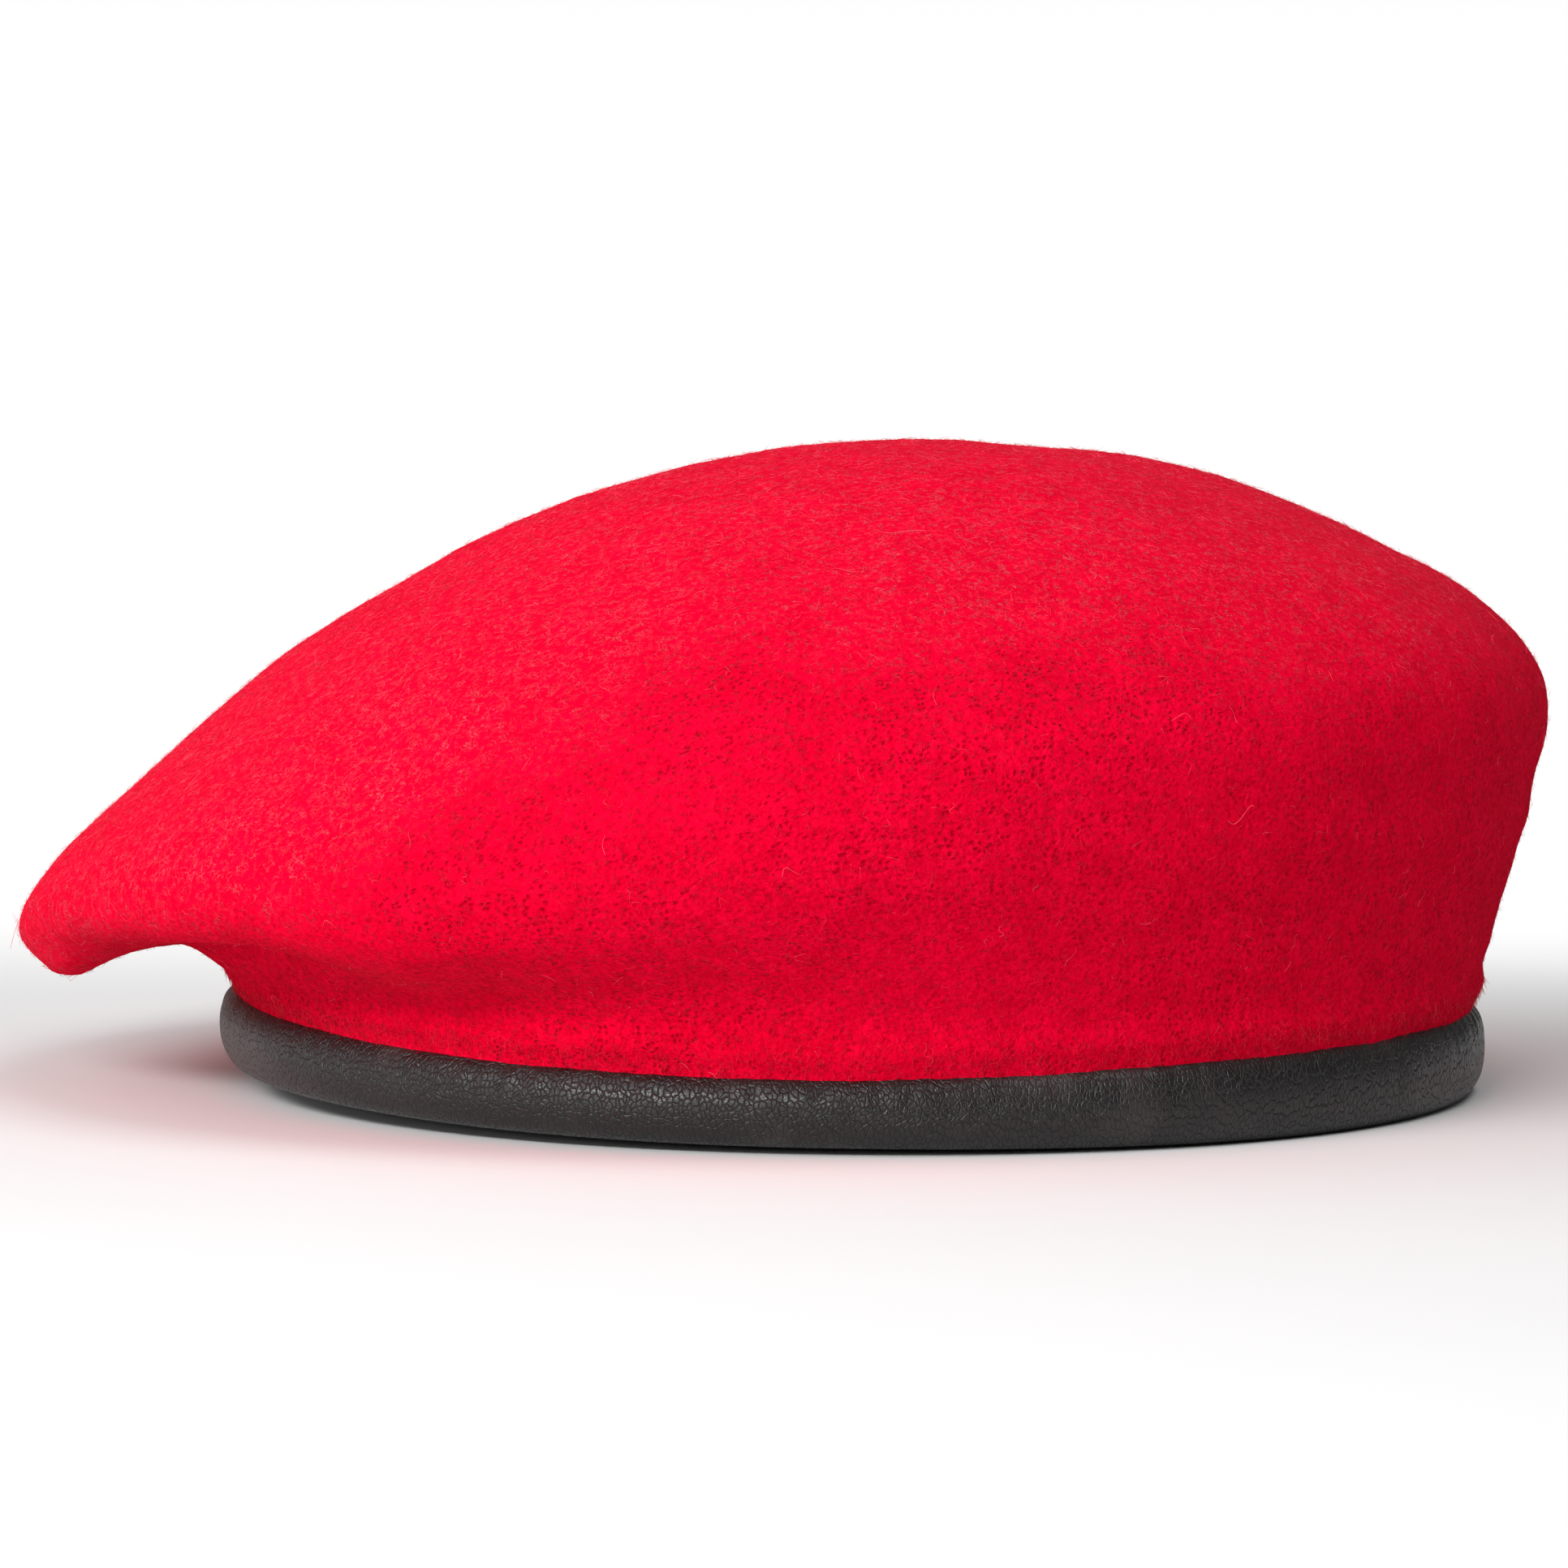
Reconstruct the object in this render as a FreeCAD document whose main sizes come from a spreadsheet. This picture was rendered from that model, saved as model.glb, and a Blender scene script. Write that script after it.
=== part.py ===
"""A military beret: fulled wool shell, leather binding, adjusting tape, lining, badge stiffener and vents.

Millimetres, +Z up. The origin is the centre of the head opening, on the plane that the binding rests on.
The front of the head faces -Y and the wearer's left is +X. The crown is pulled down over the wearer's
right, -X.

The crown is a loft through closed rings. A ring is an ellipse that runs from a point on the wearer's right
to a point on the wearer's left, so the drape shows in how far each ring tilts. The lining, the stiffener
and the label are cut from parallel offsets of that same loft, which keeps them at their own depth inside
the felt everywhere.
"""

import FreeCAD, Part
import math
import os

import Sketcher
from FreeCAD import Placement, Rotation, Vector

SIZES = {
    # The felt and the leather at the head opening
    "head_radius": 90.6,
    "felt_thickness": 2.0,
    "leather_thickness": 1.0,
    "binding_height": 10.9,
    "binding_tip_radius": 95.4,
    "binding_foot_radius": 95.1,
    "binding_bulge_arc": 13.5,
    "binding_inner_arc": 14.0,
    "binding_toe_radius": 92.4,
    "binding_toe_arc": 1.8,
    "binding_gap_angle": 0.2,
    "sweatband_wall_top": 16.5,
    "sweatband_height": 20.0,
    "sweatband_lean": 0.9,
    "fold_outer_radius": 93.9,
    "fold_inner_radius": 92.7,
    "fold_foot": 1.4,
    "fold_top": 9.0,
    # The adjusting tape in the tunnel between felt and sweatband
    "tape_inner_radius": 91.9,
    "tape_thickness": 0.5,
    "tape_foot": 2.2,
    "tape_width": 6.0,
    "knot_width": 8.0,
    "knot_height": 5.0,
    "knot_face": 90.8,
    "knot_edge": 0.5,
    "slit_width": 16.0,
    "slit_height": 6.4,
    # Stitches
    "thread_radius": 0.17,
    "stitch_length": 2.6,
    "stitch_pitch": 4.0,
    "join_stitch_length": 2.4,
    "binding_seam_radius": 91.95,
    "binding_seam_level": 9.7,
    "sweatband_seam_radius": 90.8,
    "sweatband_seam_level": 18.3,
    # Depths of the layers inside the outer face of the felt
    "stiffener_outer_depth": 2.2,
    "stiffener_inner_depth": 3.0,
    "lining_outer_depth": 3.4,
    "lining_inner_depth": 3.8,
    "label_outer_depth": 3.9,
    "label_inner_depth": 4.2,
    "lining_hem": 20.4,
    "lining_seam_gap": 0.3,
    # The badge stiffener, above the wearer's left eye
    "stiffener_azimuth": 302.0,
    "stiffener_width": 58.0,
    "stiffener_foot": 21.5,
    "stiffener_height": 32.0,
    "stiffener_corner": 13.0,
    # The woven label at the back of the lining
    "label_width": 34.0,
    "label_height": 15.0,
    "label_foot": 22.5,
    # Ventilation eyelets at the wearer's right rear
    "vent_radius": 2.0,
    "barrel_radius": 2.5,
    "flange_radius": 4.2,
    "flange_height": 0.6,
    "lip_radius": 3.3,
    "lip_thickness": 0.35,
    "washer_radius": 4.0,
    "washer_thickness": 0.25,
    "eyelet_hole_radius": 2.56,
    "seat_radius": 4.3,
    "seat_depth": 1.6,
    "front_vent_azimuth": 149.0,
    "rear_vent_azimuth": 128.0,
    "vent_share": 0.2,
}

# Each ring: its point on the wearer's right (x, z), the one on the wearer's left (x, z), and its half depth.
RINGS = {
    "crease": (-94.6, 8.0, 94.6, 8.0, 94.6),
    "neck": (-93.9, 13.2, 95.0, 13.4, 94.4),
    "hem": (-96.8, 18.2, 96.6, 19.0, 96.2),
    "under_low": (-104.5, 18.9, 99.3, 29.0, 99.6),
    "under_high": (-115.0, 16.9, 102.6, 42.0, 103.6),
    "rim_low": (-123.0, 16.4, 104.6, 53.0, 106.8),
    "rim": (-127.0, 20.5, 104.2, 60.5, 108.0),
    "rim_high": (-124.5, 27.5, 101.0, 67.2, 107.0),
    "shoulder": (-116.9, 36.9, 92.0, 75.0, 101.0),
    "slope": (-102.0, 50.8, 80.5, 81.2, 91.0),
    "crown_foot": (-88.0, 62.4, 69.0, 86.3, 78.8),
    "crown_low": (-72.0, 73.0, 57.5, 90.5, 65.2),
    "crown_mid": (-54.5, 82.5, 46.0, 93.6, 50.5),
    "crown_high": (-36.0, 89.6, 34.5, 95.7, 35.3),
    "crown_top": (-19.0, 93.9, 23.5, 96.7, 21.2),
    "cap": (-6.0, 96.0, 15.0, 97.0, 10.5),
}
SEAM_RING = "rim"
FAR = 400.0
STITCH_CLEARANCE = 0.02
POINT_TOLERANCE = 0.001


class Size:
    """A length that knows both its number and the spreadsheet expression that gives it."""

    def __init__(self, value, text):
        self.value = value
        self.text = text

    def __add__(self, other):
        return Size(self.value + other.value, f"({self.text} + {other.text})")

    def __sub__(self, other):
        return Size(self.value - other.value, f"({self.text} - {other.text})")

    def __mul__(self, factor):
        return Size(self.value * factor, f"({self.text} * {factor})")


class Sizes:
    """The spreadsheet of driving dimensions: sizes.head_radius is the Size in the cell with that alias."""

    def __init__(self, document, numbers):
        self.numbers = numbers
        sheet = document.addObject("Spreadsheet::Sheet", "Sizes")
        for row, (alias, number) in enumerate(numbers.items(), start=1):
            sheet.set(f"A{row}", alias)
            sheet.set(f"B{row}", str(number))
            sheet.setAlias(f"B{row}", alias)
        document.recompute()

    def __getattr__(self, alias):
        return Size(self.numbers[alias], f"Sizes.{alias}")

    def ring(self, name):
        ends = ("right_x", "right_z", "left_x", "left_z", "depth")
        return [getattr(self, f"{name}_{end}") for end in ends]


def driving_numbers():
    numbers = dict(SIZES)
    for name, (right_x, right_z, left_x, left_z, depth) in RINGS.items():
        numbers[f"{name}_right_x"] = right_x
        numbers[f"{name}_right_z"] = right_z
        numbers[f"{name}_left_x"] = left_x
        numbers[f"{name}_left_z"] = left_z
        numbers[f"{name}_depth"] = depth
    return numbers


document = FreeCAD.newDocument("beret")
sizes = Sizes(document, driving_numbers())


def bind(thing, **lengths):
    """Binds each property of thing to the expression of its Size."""
    for prop, length in lengths.items():
        thing.setExpression(prop, length.text)
    return thing


def place(thing, **lengths):
    """Binds coordinates of thing's Placement, such as x=..., z=..., to the expressions of their Sizes."""
    for letter, length in lengths.items():
        thing.setExpression(f"Placement.Base.{letter}", length.text)
    return thing


def sub_part(thing, label):
    thing.Label = label
    return thing


def cylinder(name, radius, foot, height):
    made = document.addObject("Part::Cylinder", name)
    bind(made, Radius=radius, Height=height)
    return place(made, z=foot)


def combine(kind, name, base, tool):
    made = document.addObject(f"Part::{kind}", name)
    made.Base = base
    made.Tool = tool
    return made


def closed_profile(body, name, corners, arcs):
    """A closed sketch on the body's XZ plane. corners are (across, up) Sizes, and arcs gives, for an edge's
    number, the radius of its arc and the side that it bulges to: +1 is left of the way along the edge."""
    plane = next(f for f in body.Origin.OriginFeatures if f.Role == "XZ_Plane")
    sketch = body.newObject("Sketcher::SketchObject", name)
    sketch.AttachmentSupport = [(plane, "")]
    sketch.MapMode = "FlatFace"
    points = [Vector(across.value, up.value, 0) for across, up in corners]
    starts = []
    for i, point in enumerate(points):
        following = points[(i + 1) % len(points)]
        if i not in arcs:
            sketch.addGeometry(Part.LineSegment(point, following))
            starts.append(1)
            continue
        radius, side = arcs[i]
        chord = following - point
        sagitta = radius.value - math.sqrt(radius.value**2 - chord.Length**2 / 4)
        normal = Vector(-chord.y, chord.x, 0).normalize()
        middle = (point + following) * 0.5 + normal * (sagitta * side)
        sketch.addGeometry(Part.Arc(point, middle, following))
        starts.append(1 if sketch.getPoint(i, 1).isEqual(point, 1e-6) else 2)
    for i, (across, up) in enumerate(corners):
        after = (i + 1) % len(corners)
        sketch.addConstraint(Sketcher.Constraint("Coincident", i, 3 - starts[i], after, starts[after]))
        for kind, axis, length in (("DistanceX", -2, across), ("DistanceY", -1, up)):
            if length.value == 0:
                sketch.addConstraint(Sketcher.Constraint("PointOnObject", i, starts[i], axis))
                continue
            number = sketch.addConstraint(Sketcher.Constraint(kind, -1, 1, i, starts[i], length.value))
            sketch.setExpression(f"Constraints[{number}]", length.text)
        if i in arcs:
            number = sketch.addConstraint(Sketcher.Constraint("Radius", i, arcs[i][0].value))
            sketch.setExpression(f"Constraints[{number}]", arcs[i][0].text)
    return sketch


def revolved_body(name, corners, arcs, angle=None):
    """A body turned from a closed profile about Z, all the way round unless an angle is given."""
    body = document.addObject("PartDesign::Body", name)
    sketch = closed_profile(body, f"{name}_profile", corners, arcs)
    turn = body.newObject("PartDesign::Revolution", f"{name}_turn")
    turn.Profile = sketch
    turn.ReferenceAxis = (sketch, ["V_Axis"])
    turn.Angle = 360
    if angle is not None:
        bind(turn, Angle=angle)
    return body


def crown_ring(name):
    right_x, right_z, left_x, left_z, depth = sizes.ring(name)
    ring = document.addObject("Part::Ellipse", f"{name}_ring")
    run, rise = left_x - right_x, left_z - right_z
    ring.Placement = Placement(Vector(0, 0, 0), Rotation(Vector(0, 1, 0), 1))
    ring.setExpression("MajorRadius", f"sqrt({run.text}^2 + {rise.text}^2) / 2")
    bind(ring, MinorRadius=depth)
    ring.setExpression("Placement.Rotation.Angle", f"-atan2({rise.text}; {run.text})")
    return place(ring, x=(right_x + left_x) * 0.5, z=(right_z + left_z) * 0.5)


def crown_form():
    """The solid inside the felt's outer face, from the crease at the binding to the top of the crown."""
    form = document.addObject("Part::Loft", "crown_form")
    form.Sections = [crown_ring(name) for name in RINGS]
    form.Solid = True
    form.Ruled = False
    document.recompute()
    return form


def inset_form(form, name, depth):
    """The crown form with its faces moved inwards by a depth."""
    inset = document.addObject("Part::Offset", name)
    inset.Source = form
    inset.Join = 0
    inset.setExpression("Value", f"-{depth.text}")
    return inset


def layer(form, name, outer_depth, inner_depth):
    """The skin between two depths inside the felt's outer face."""
    outer = inset_form(form, f"{name}_outer", outer_depth)
    inner = inset_form(form, f"{name}_inner", inner_depth)
    return combine("Cut", f"{name}_layer", outer, inner)


def on_felt(form, azimuth, share):
    """A point on the felt's outer face and the outward normal there. azimuth is in degrees from +X, and share
    is the part of the way from the crease to the top."""
    face = max(form.Shape.Faces, key=lambda f: f.Area)
    first_u, last_u, first_v, last_v = face.ParameterRange
    u = first_u + (last_u - first_u) * azimuth / 360
    v = first_v + (last_v - first_v) * share
    normal = face.normalAt(u, v)
    point = face.valueAt(u, v)
    if not form.Shape.isInside(point - normal, POINT_TOLERANCE, False):
        normal = -normal
    return point, normal


def vent_cut(shell, name, point, normal):
    """The shell with a hole for a vent's barrel, and pressed flat under its flange and over its washer."""
    s = sizes
    felt, reach = s.felt_thickness, s.seat_depth
    turn = Rotation(Vector(0, 0, 1), normal)
    rooms = {
        "barrel_hole": (s.eyelet_hole_radius, felt * -1 - reach, felt + reach * 2),
        "flange_seat": (s.seat_radius, Size(0.0, "0"), reach),
        "washer_seat": (s.seat_radius, felt * -1 - reach, reach),
    }
    for room, (radius, foot, height) in rooms.items():
        tool = document.addObject("Part::Cylinder", f"{name}_{room}")
        bind(tool, Radius=radius, Height=height)
        tool.Placement = Placement(point + normal * foot.value, turn)
        shell = combine("Cut", f"felt_past_{name}_{room}", shell, tool)
    return shell


def felt_shell(form, vents):
    """The seamless wool shell: crown and underside in one, with its edge in the fold of the leather."""
    hollow = inset_form(form, "felt_hollow", sizes.felt_thickness)
    walls = combine("Cut", "felt_walls", form, hollow)
    sides = sizes.fold_top - sizes.fold_foot
    through = sides + sizes.felt_thickness * 0.7
    opening = cylinder("felt_opening", sizes.fold_inner_radius, sizes.fold_foot, through)
    open_walls = combine("Cut", "felt_open_walls", walls, opening)
    edge = cylinder("fold_outside", sizes.fold_outer_radius, sizes.fold_foot, sides)
    core = cylinder("fold_inside", sizes.fold_inner_radius, sizes.fold_foot, sides)
    fold = combine("Cut", "felt_fold", edge, core)
    shell = combine("Fuse", "felt_with_fold", open_walls, fold)
    for name, (point, normal) in vents.items():
        shell = vent_cut(shell, name, point, normal)
    return sub_part(shell, "felt_shell")


def leather_binding():
    """One strip of leather: rolled outside, folded under the felt's edge, and up inside as the sweatband."""
    s = sizes
    zero = Size(0.0, "0")
    skin = s.leather_thickness
    corners = [
        (s.binding_tip_radius - skin * 0.6, s.binding_height - skin * 0.7),
        (s.binding_tip_radius, s.binding_height),
        (s.binding_foot_radius, zero),
        (s.binding_toe_radius, zero),
        (s.head_radius, s.binding_toe_arc),
        (s.head_radius, s.sweatband_wall_top),
        (s.head_radius + s.sweatband_lean, s.sweatband_height),
        (s.head_radius + s.sweatband_lean + skin, s.sweatband_height),
        (s.head_radius + skin, s.sweatband_wall_top),
        (s.head_radius + skin, skin * 2),
        (s.head_radius + skin * 2, skin),
        (s.binding_foot_radius - skin * 0.4, skin),
    ]
    arcs = {1: (s.binding_bulge_arc, 1), 3: (s.binding_toe_arc, 1), 11: (s.binding_inner_arc, -1)}
    full = Size(360.0, "360")
    strip = revolved_body("leather_strip", corners, arcs, full - s.binding_gap_angle)
    strip.setExpression("Placement.Rotation.Angle", f"90 + {s.binding_gap_angle.text} / 2")
    slit = document.addObject("Part::Box", "tape_slit")
    bind(slit, Length=s.slit_width, Width=skin * 1.5, Height=s.slit_height)
    place(slit, x=s.slit_width * -0.5, y=s.head_radius - skin * 0.5, z=s.binding_toe_arc + skin * 0.2)
    return sub_part(combine("Cut", "binding_with_slit", strip, slit), "leather_binding")


def draw_tape():
    """The woven adjusting tape, tied at the back, with its knot tucked into the slit in the sweatband."""
    s = sizes
    inner, outer = s.tape_inner_radius, s.tape_inner_radius + s.tape_thickness
    top = s.tape_foot + s.tape_width
    corners = [(inner, s.tape_foot), (outer, s.tape_foot), (outer, top), (inner, top)]
    loop = revolved_body("tape_loop", corners, {})
    block = document.addObject("Part::Box", "knot_block")
    bind(block, Length=s.knot_width, Width=outer - s.knot_face, Height=s.knot_height)
    rise = s.tape_foot + (s.tape_width - s.knot_height) * 0.5
    place(block, x=s.knot_width * -0.5, y=s.knot_face, z=rise)
    document.recompute()
    knot = document.addObject("Part::Fillet", "knot")
    knot.Base = block
    front = [i for i, e in enumerate(block.Shape.Edges, 1) if e.BoundBox.YMax < s.knot_face.value + 0.01]
    knot.Edges = [(i, s.knot_edge.value, s.knot_edge.value) for i in front]
    return sub_part(combine("Fuse", "tied_tape", loop, knot), "draw_tape")


def stitch_row(label, points):
    """Lockstitches along a closed row of points: one short length of thread at each, laid along the row."""
    half = sizes.stitch_length.value / 2
    stitches = []
    for before, point, after in zip([points[-1]] + points[:-1], points, points[1:] + points[:1]):
        along = (after - before).normalize()
        stitches.append(Part.makeCylinder(sizes.thread_radius.value, half * 2, point - along * half, along))
    row = document.addObject("Part::Feature", label)
    row.Shape = Part.makeCompound(stitches)
    row.Placement = Placement()
    return sub_part(row, label)


def level_row(radius, level):
    """Points a stitch pitch apart on a level circle, clear of the binding's join at the back."""
    reach = radius.value
    count = round(2 * math.pi * reach / sizes.stitch_pitch.value)
    turns = [math.radians(90 + 360 * (i + 0.5) / count) for i in range(count)]
    return [Vector(reach * math.cos(t), reach * math.sin(t), level.value) for t in turns]


def join_row():
    """Stitches that cross the leather's join, one above another up the outside of the roll."""
    s = sizes
    foot, tip, arc = s.binding_foot_radius.value, s.binding_tip_radius.value, s.binding_bulge_arc.value
    height, thread = s.binding_height.value, s.thread_radius.value
    chord = math.hypot(tip - foot, height)
    middle = (tip + foot) / 2 - math.sqrt(arc**2 - chord**2 / 4)
    stitches = []
    for level in range(2, 10, 2):
        reach = middle + math.sqrt(arc**2 - (level - height / 2) ** 2) + thread + STITCH_CLEARANCE
        start = Vector(-s.join_stitch_length.value / 2, reach, level)
        stitches.append(Part.makeCylinder(thread, s.join_stitch_length.value, start, Vector(1, 0, 0)))
    row = document.addObject("Part::Feature", "binding_join_stitches")
    row.Shape = Part.makeCompound(stitches)
    return sub_part(row, "binding_join_stitches")


def lining(form):
    """The side and top panels of the lining, which meet at a seam inside the rim of the crown."""
    s = sizes
    skin = layer(form, "lining", s.lining_outer_depth, s.lining_inner_depth)
    floor = document.addObject("Part::Box", "below_hem")
    for side in ("Length", "Width"):
        setattr(floor, side, FAR)
    bind(floor, Height=s.lining_hem)
    floor.Placement.Base = Vector(-FAR / 2, -FAR / 2, 0)
    skin = combine("Cut", "lining_skin", skin, floor)
    right_x, right_z, left_x, left_z, _ = s.ring(SEAM_RING)
    tilt = math.degrees(math.atan2(left_z.value - right_z.value, left_x.value - right_x.value))
    turn = Rotation(Vector(0, 1, 0), -tilt)
    middle = Vector((right_x.value + left_x.value) / 2, 0, (right_z.value + left_z.value) / 2)
    panels = []
    for label, side in (("lining_side", -1), ("lining_top", 1)):
        room = document.addObject("Part::Box", f"{label}_room")
        room.Length, room.Width, room.Height = FAR, FAR, FAR
        shift = s.lining_seam_gap.value / 2 if side > 0 else -FAR - s.lining_seam_gap.value / 2
        room.Placement = Placement(middle + turn.multVec(Vector(-FAR / 2, -FAR / 2, shift)), turn)
        panels.append(sub_part(combine("Common", f"{label}_panel", skin, room), label))
    return panels, middle, turn


def lining_seam_row(middle, turn):
    """Points a stitch pitch apart round the lining's seam, just inside its inner face."""
    right_x, right_z, left_x, left_z, depth = sizes.ring(SEAM_RING)
    inset = sizes.lining_inner_depth.value + sizes.thread_radius.value + STITCH_CLEARANCE * 4
    major = math.hypot(left_x.value - right_x.value, left_z.value - right_z.value) / 2 - inset
    minor = depth.value - inset
    count = round(math.pi * (major + minor) / sizes.stitch_pitch.value)
    row = []
    for i in range(count):
        t = 2 * math.pi * i / count
        row.append(middle + turn.multVec(Vector(major * math.cos(t), minor * math.sin(t), 0)))
    return row


def radial_block(name, azimuth, width, foot, height, corner=None):
    """A block that reaches out from the head's axis at an azimuth, its upper corners rounded if asked."""
    block = document.addObject("Part::Box", name)
    block.Length = FAR / 2
    bind(block, Width=width, Height=height)
    turn = Rotation(Vector(0, 0, 1), azimuth)
    start = Vector(0, -width.value / 2, foot.value)
    block.Placement = Placement(turn.multVec(start), turn)
    if corner is None:
        return block
    document.recompute()
    top = foot.value + height.value
    edges = [
        i
        for i, e in enumerate(block.Shape.Edges, 1)
        if e.BoundBox.ZMin > top - 0.01 and e.Length > FAR / 3
    ]
    rounded = document.addObject("Part::Fillet", f"{name}_rounded")
    rounded.Base = block
    rounded.Edges = [(i, corner.value, corner.value) for i in edges]
    return rounded


def badge_stiffener(form):
    s = sizes
    plate = layer(form, "stiffener", s.stiffener_outer_depth, s.stiffener_inner_depth)
    room = radial_block(
        "stiffener_room", s.stiffener_azimuth.value, s.stiffener_width, s.stiffener_foot, s.stiffener_height,
        s.stiffener_corner,
    )
    return sub_part(combine("Common", "stiffener_plate", plate, room), "badge_stiffener")


def size_label(form):
    s = sizes
    cloth = layer(form, "label", s.label_outer_depth, s.label_inner_depth)
    room = radial_block("label_room", 90, s.label_width, s.label_foot, s.label_height)
    return sub_part(combine("Common", "label_cloth", cloth, room), "size_label")


def vent_eyelet(label, point, normal):
    """A turned eyelet: domed flange outside, barrel through the felt, and lip rolled over the washer."""
    s = sizes
    back = s.felt_thickness * -1 - s.washer_thickness
    corners = [
        (s.vent_radius, s.flange_height),
        (s.vent_radius, back - s.lip_thickness),
        (s.lip_radius, back - s.lip_thickness),
        (s.lip_radius, back),
        (s.barrel_radius, back),
        (s.barrel_radius, s.lip_thickness * 0.3),
        (s.flange_radius, s.lip_thickness * 0.3),
    ]
    flange_arc = s.flange_radius * 1.0
    body = revolved_body(label, corners, {6: (flange_arc, -1)})
    body.Placement = Placement(point, Rotation(Vector(0, 0, 1), normal))
    return sub_part(body, label)


def vent_washer(label, point, normal):
    s = sizes
    front = s.felt_thickness * -1
    back = front - s.washer_thickness
    hole = s.eyelet_hole_radius
    corners = [(hole, back), (s.washer_radius, back), (s.washer_radius, front), (hole, front)]
    body = revolved_body(label, corners, {})
    body.Placement = Placement(point, Rotation(Vector(0, 0, 1), normal))
    return sub_part(body, label)


def main():
    s = sizes
    form = crown_form()
    vents = {
        "front_vent": on_felt(form, s.front_vent_azimuth.value, s.vent_share.value),
        "rear_vent": on_felt(form, s.rear_vent_azimuth.value, s.vent_share.value),
    }
    parts = [felt_shell(form, vents), leather_binding(), draw_tape()]
    parts.append(stitch_row("binding_seam_stitches", level_row(s.binding_seam_radius, s.binding_seam_level)))
    parts.append(stitch_row("sweatband_stitches", level_row(s.sweatband_seam_radius, s.sweatband_seam_level)))
    parts.append(join_row())
    panels, middle, turn = lining(form)
    parts.extend(panels)
    parts.append(stitch_row("lining_seam_stitches", lining_seam_row(middle, turn)))
    parts.append(badge_stiffener(form))
    parts.append(size_label(form))
    for name, (point, normal) in vents.items():
        parts.append(vent_eyelet(f"{name}_eyelet", point, normal))
        parts.append(vent_washer(f"{name}_washer", point, normal))
    document.recompute()
    export(parts)


def export(parts):
    for thing in document.Objects:
        if "Invalid" in thing.State or "Error" in thing.State:
            raise RuntimeError(f"{thing.Name} failed: {thing.State}")
    os.makedirs("parts", exist_ok=True)
    for old in os.listdir("parts"):
        os.remove(os.path.join("parts", old))
    for part in parts:
        shape = part.Shape
        if shape.isNull() or not shape.isValid() or not shape.Solids:
            raise RuntimeError(f"{part.Label} has no valid solid")
        shape.exportStep(f"parts/{part.Label}.step")
        print(f"{part.Label}: {len(shape.Solids)} solids, {shape.Volume / 1000:.2f} cm3")


main()
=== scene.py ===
"""The looks of a red wool beret with a rolled leather binding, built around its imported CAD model.

Lengths are in millimetres up to the point where a mesh is made, and the frame is the CAD model's: the
origin is the centre of the head opening on the table, +X is the wearer's left, -Y the front and +Z up.
"Turn" is the angle round Z from +X, and "climb" the way up the felt from the crease by the leather.
"""

import math

import bpy
import numpy as np
from mathutils import Matrix, Vector, noise


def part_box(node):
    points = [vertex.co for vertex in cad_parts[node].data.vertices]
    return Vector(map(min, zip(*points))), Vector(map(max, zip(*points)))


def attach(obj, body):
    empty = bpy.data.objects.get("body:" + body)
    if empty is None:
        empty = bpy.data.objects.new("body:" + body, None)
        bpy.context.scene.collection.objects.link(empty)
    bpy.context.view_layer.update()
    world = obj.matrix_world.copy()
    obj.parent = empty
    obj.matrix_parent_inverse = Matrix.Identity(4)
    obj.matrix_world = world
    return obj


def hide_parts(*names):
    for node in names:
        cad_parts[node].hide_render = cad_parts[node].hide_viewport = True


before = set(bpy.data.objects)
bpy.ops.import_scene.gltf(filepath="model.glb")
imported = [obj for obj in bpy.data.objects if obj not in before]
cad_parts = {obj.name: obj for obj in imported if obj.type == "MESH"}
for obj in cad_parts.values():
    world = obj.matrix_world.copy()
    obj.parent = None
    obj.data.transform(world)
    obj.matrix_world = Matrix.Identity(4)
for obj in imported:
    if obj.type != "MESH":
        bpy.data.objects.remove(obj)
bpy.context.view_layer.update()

MM = 0.001
FULL_TURN = 2 * math.pi

# The crown's rings: the point on the wearer's right (x, z), the point on the left (x, z), and the half depth
RINGS = {
    "crease": (-94.6, 8.0, 94.6, 8.0, 94.6),
    "neck": (-93.9, 13.2, 95.0, 13.4, 94.4),
    "hem": (-96.8, 18.2, 96.6, 19.0, 96.2),
    "under_low": (-104.5, 18.9, 99.3, 29.0, 99.6),
    "under_high": (-115.0, 16.9, 102.6, 42.0, 103.6),
    "rim_low": (-123.0, 16.4, 104.6, 53.0, 106.8),
    "rim": (-127.0, 20.5, 104.2, 60.5, 108.0),
    "rim_high": (-124.5, 27.5, 101.0, 67.2, 107.0),
    "shoulder": (-116.9, 36.9, 92.0, 75.0, 101.0),
    "slope": (-102.0, 50.8, 80.5, 81.2, 91.0),
    "crown_foot": (-88.0, 62.4, 69.0, 86.3, 78.8),
    "crown_low": (-72.0, 73.0, 57.5, 90.5, 65.2),
    "crown_mid": (-54.5, 82.5, 46.0, 93.6, 50.5),
    "crown_high": (-36.0, 89.6, 34.5, 95.7, 35.3),
    "crown_top": (-19.0, 93.9, 23.5, 96.7, 21.2),
    "cap": (-6.0, 96.0, 15.0, 97.0, 10.5),
    "top": (5.0, 96.9, 5.0, 96.9, 0.0),
}

# How the real hat departs from its pattern
BAND_LIFT = 3.4
BAND_TILT = 2.2
BAND_SAG = 0.8
BAND_BOW = 1.0
DRAW_IN_LEFT = 1.5
DRAW_IN_TIP = 2.0
DRAPE_LIFT_TIP = 1.4
DRAPE_LIFT_SIDES = 4.4

FELT_THICKNESS = 2.0
FELT_COLUMNS = 384
FELT_ROWS = 126
# The felt's edge, folded into the leather: (radius, height)
FELT_FOLD = ((94.5, 2.8), (94.7, 4.8), (94.6, 6.8))
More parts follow.
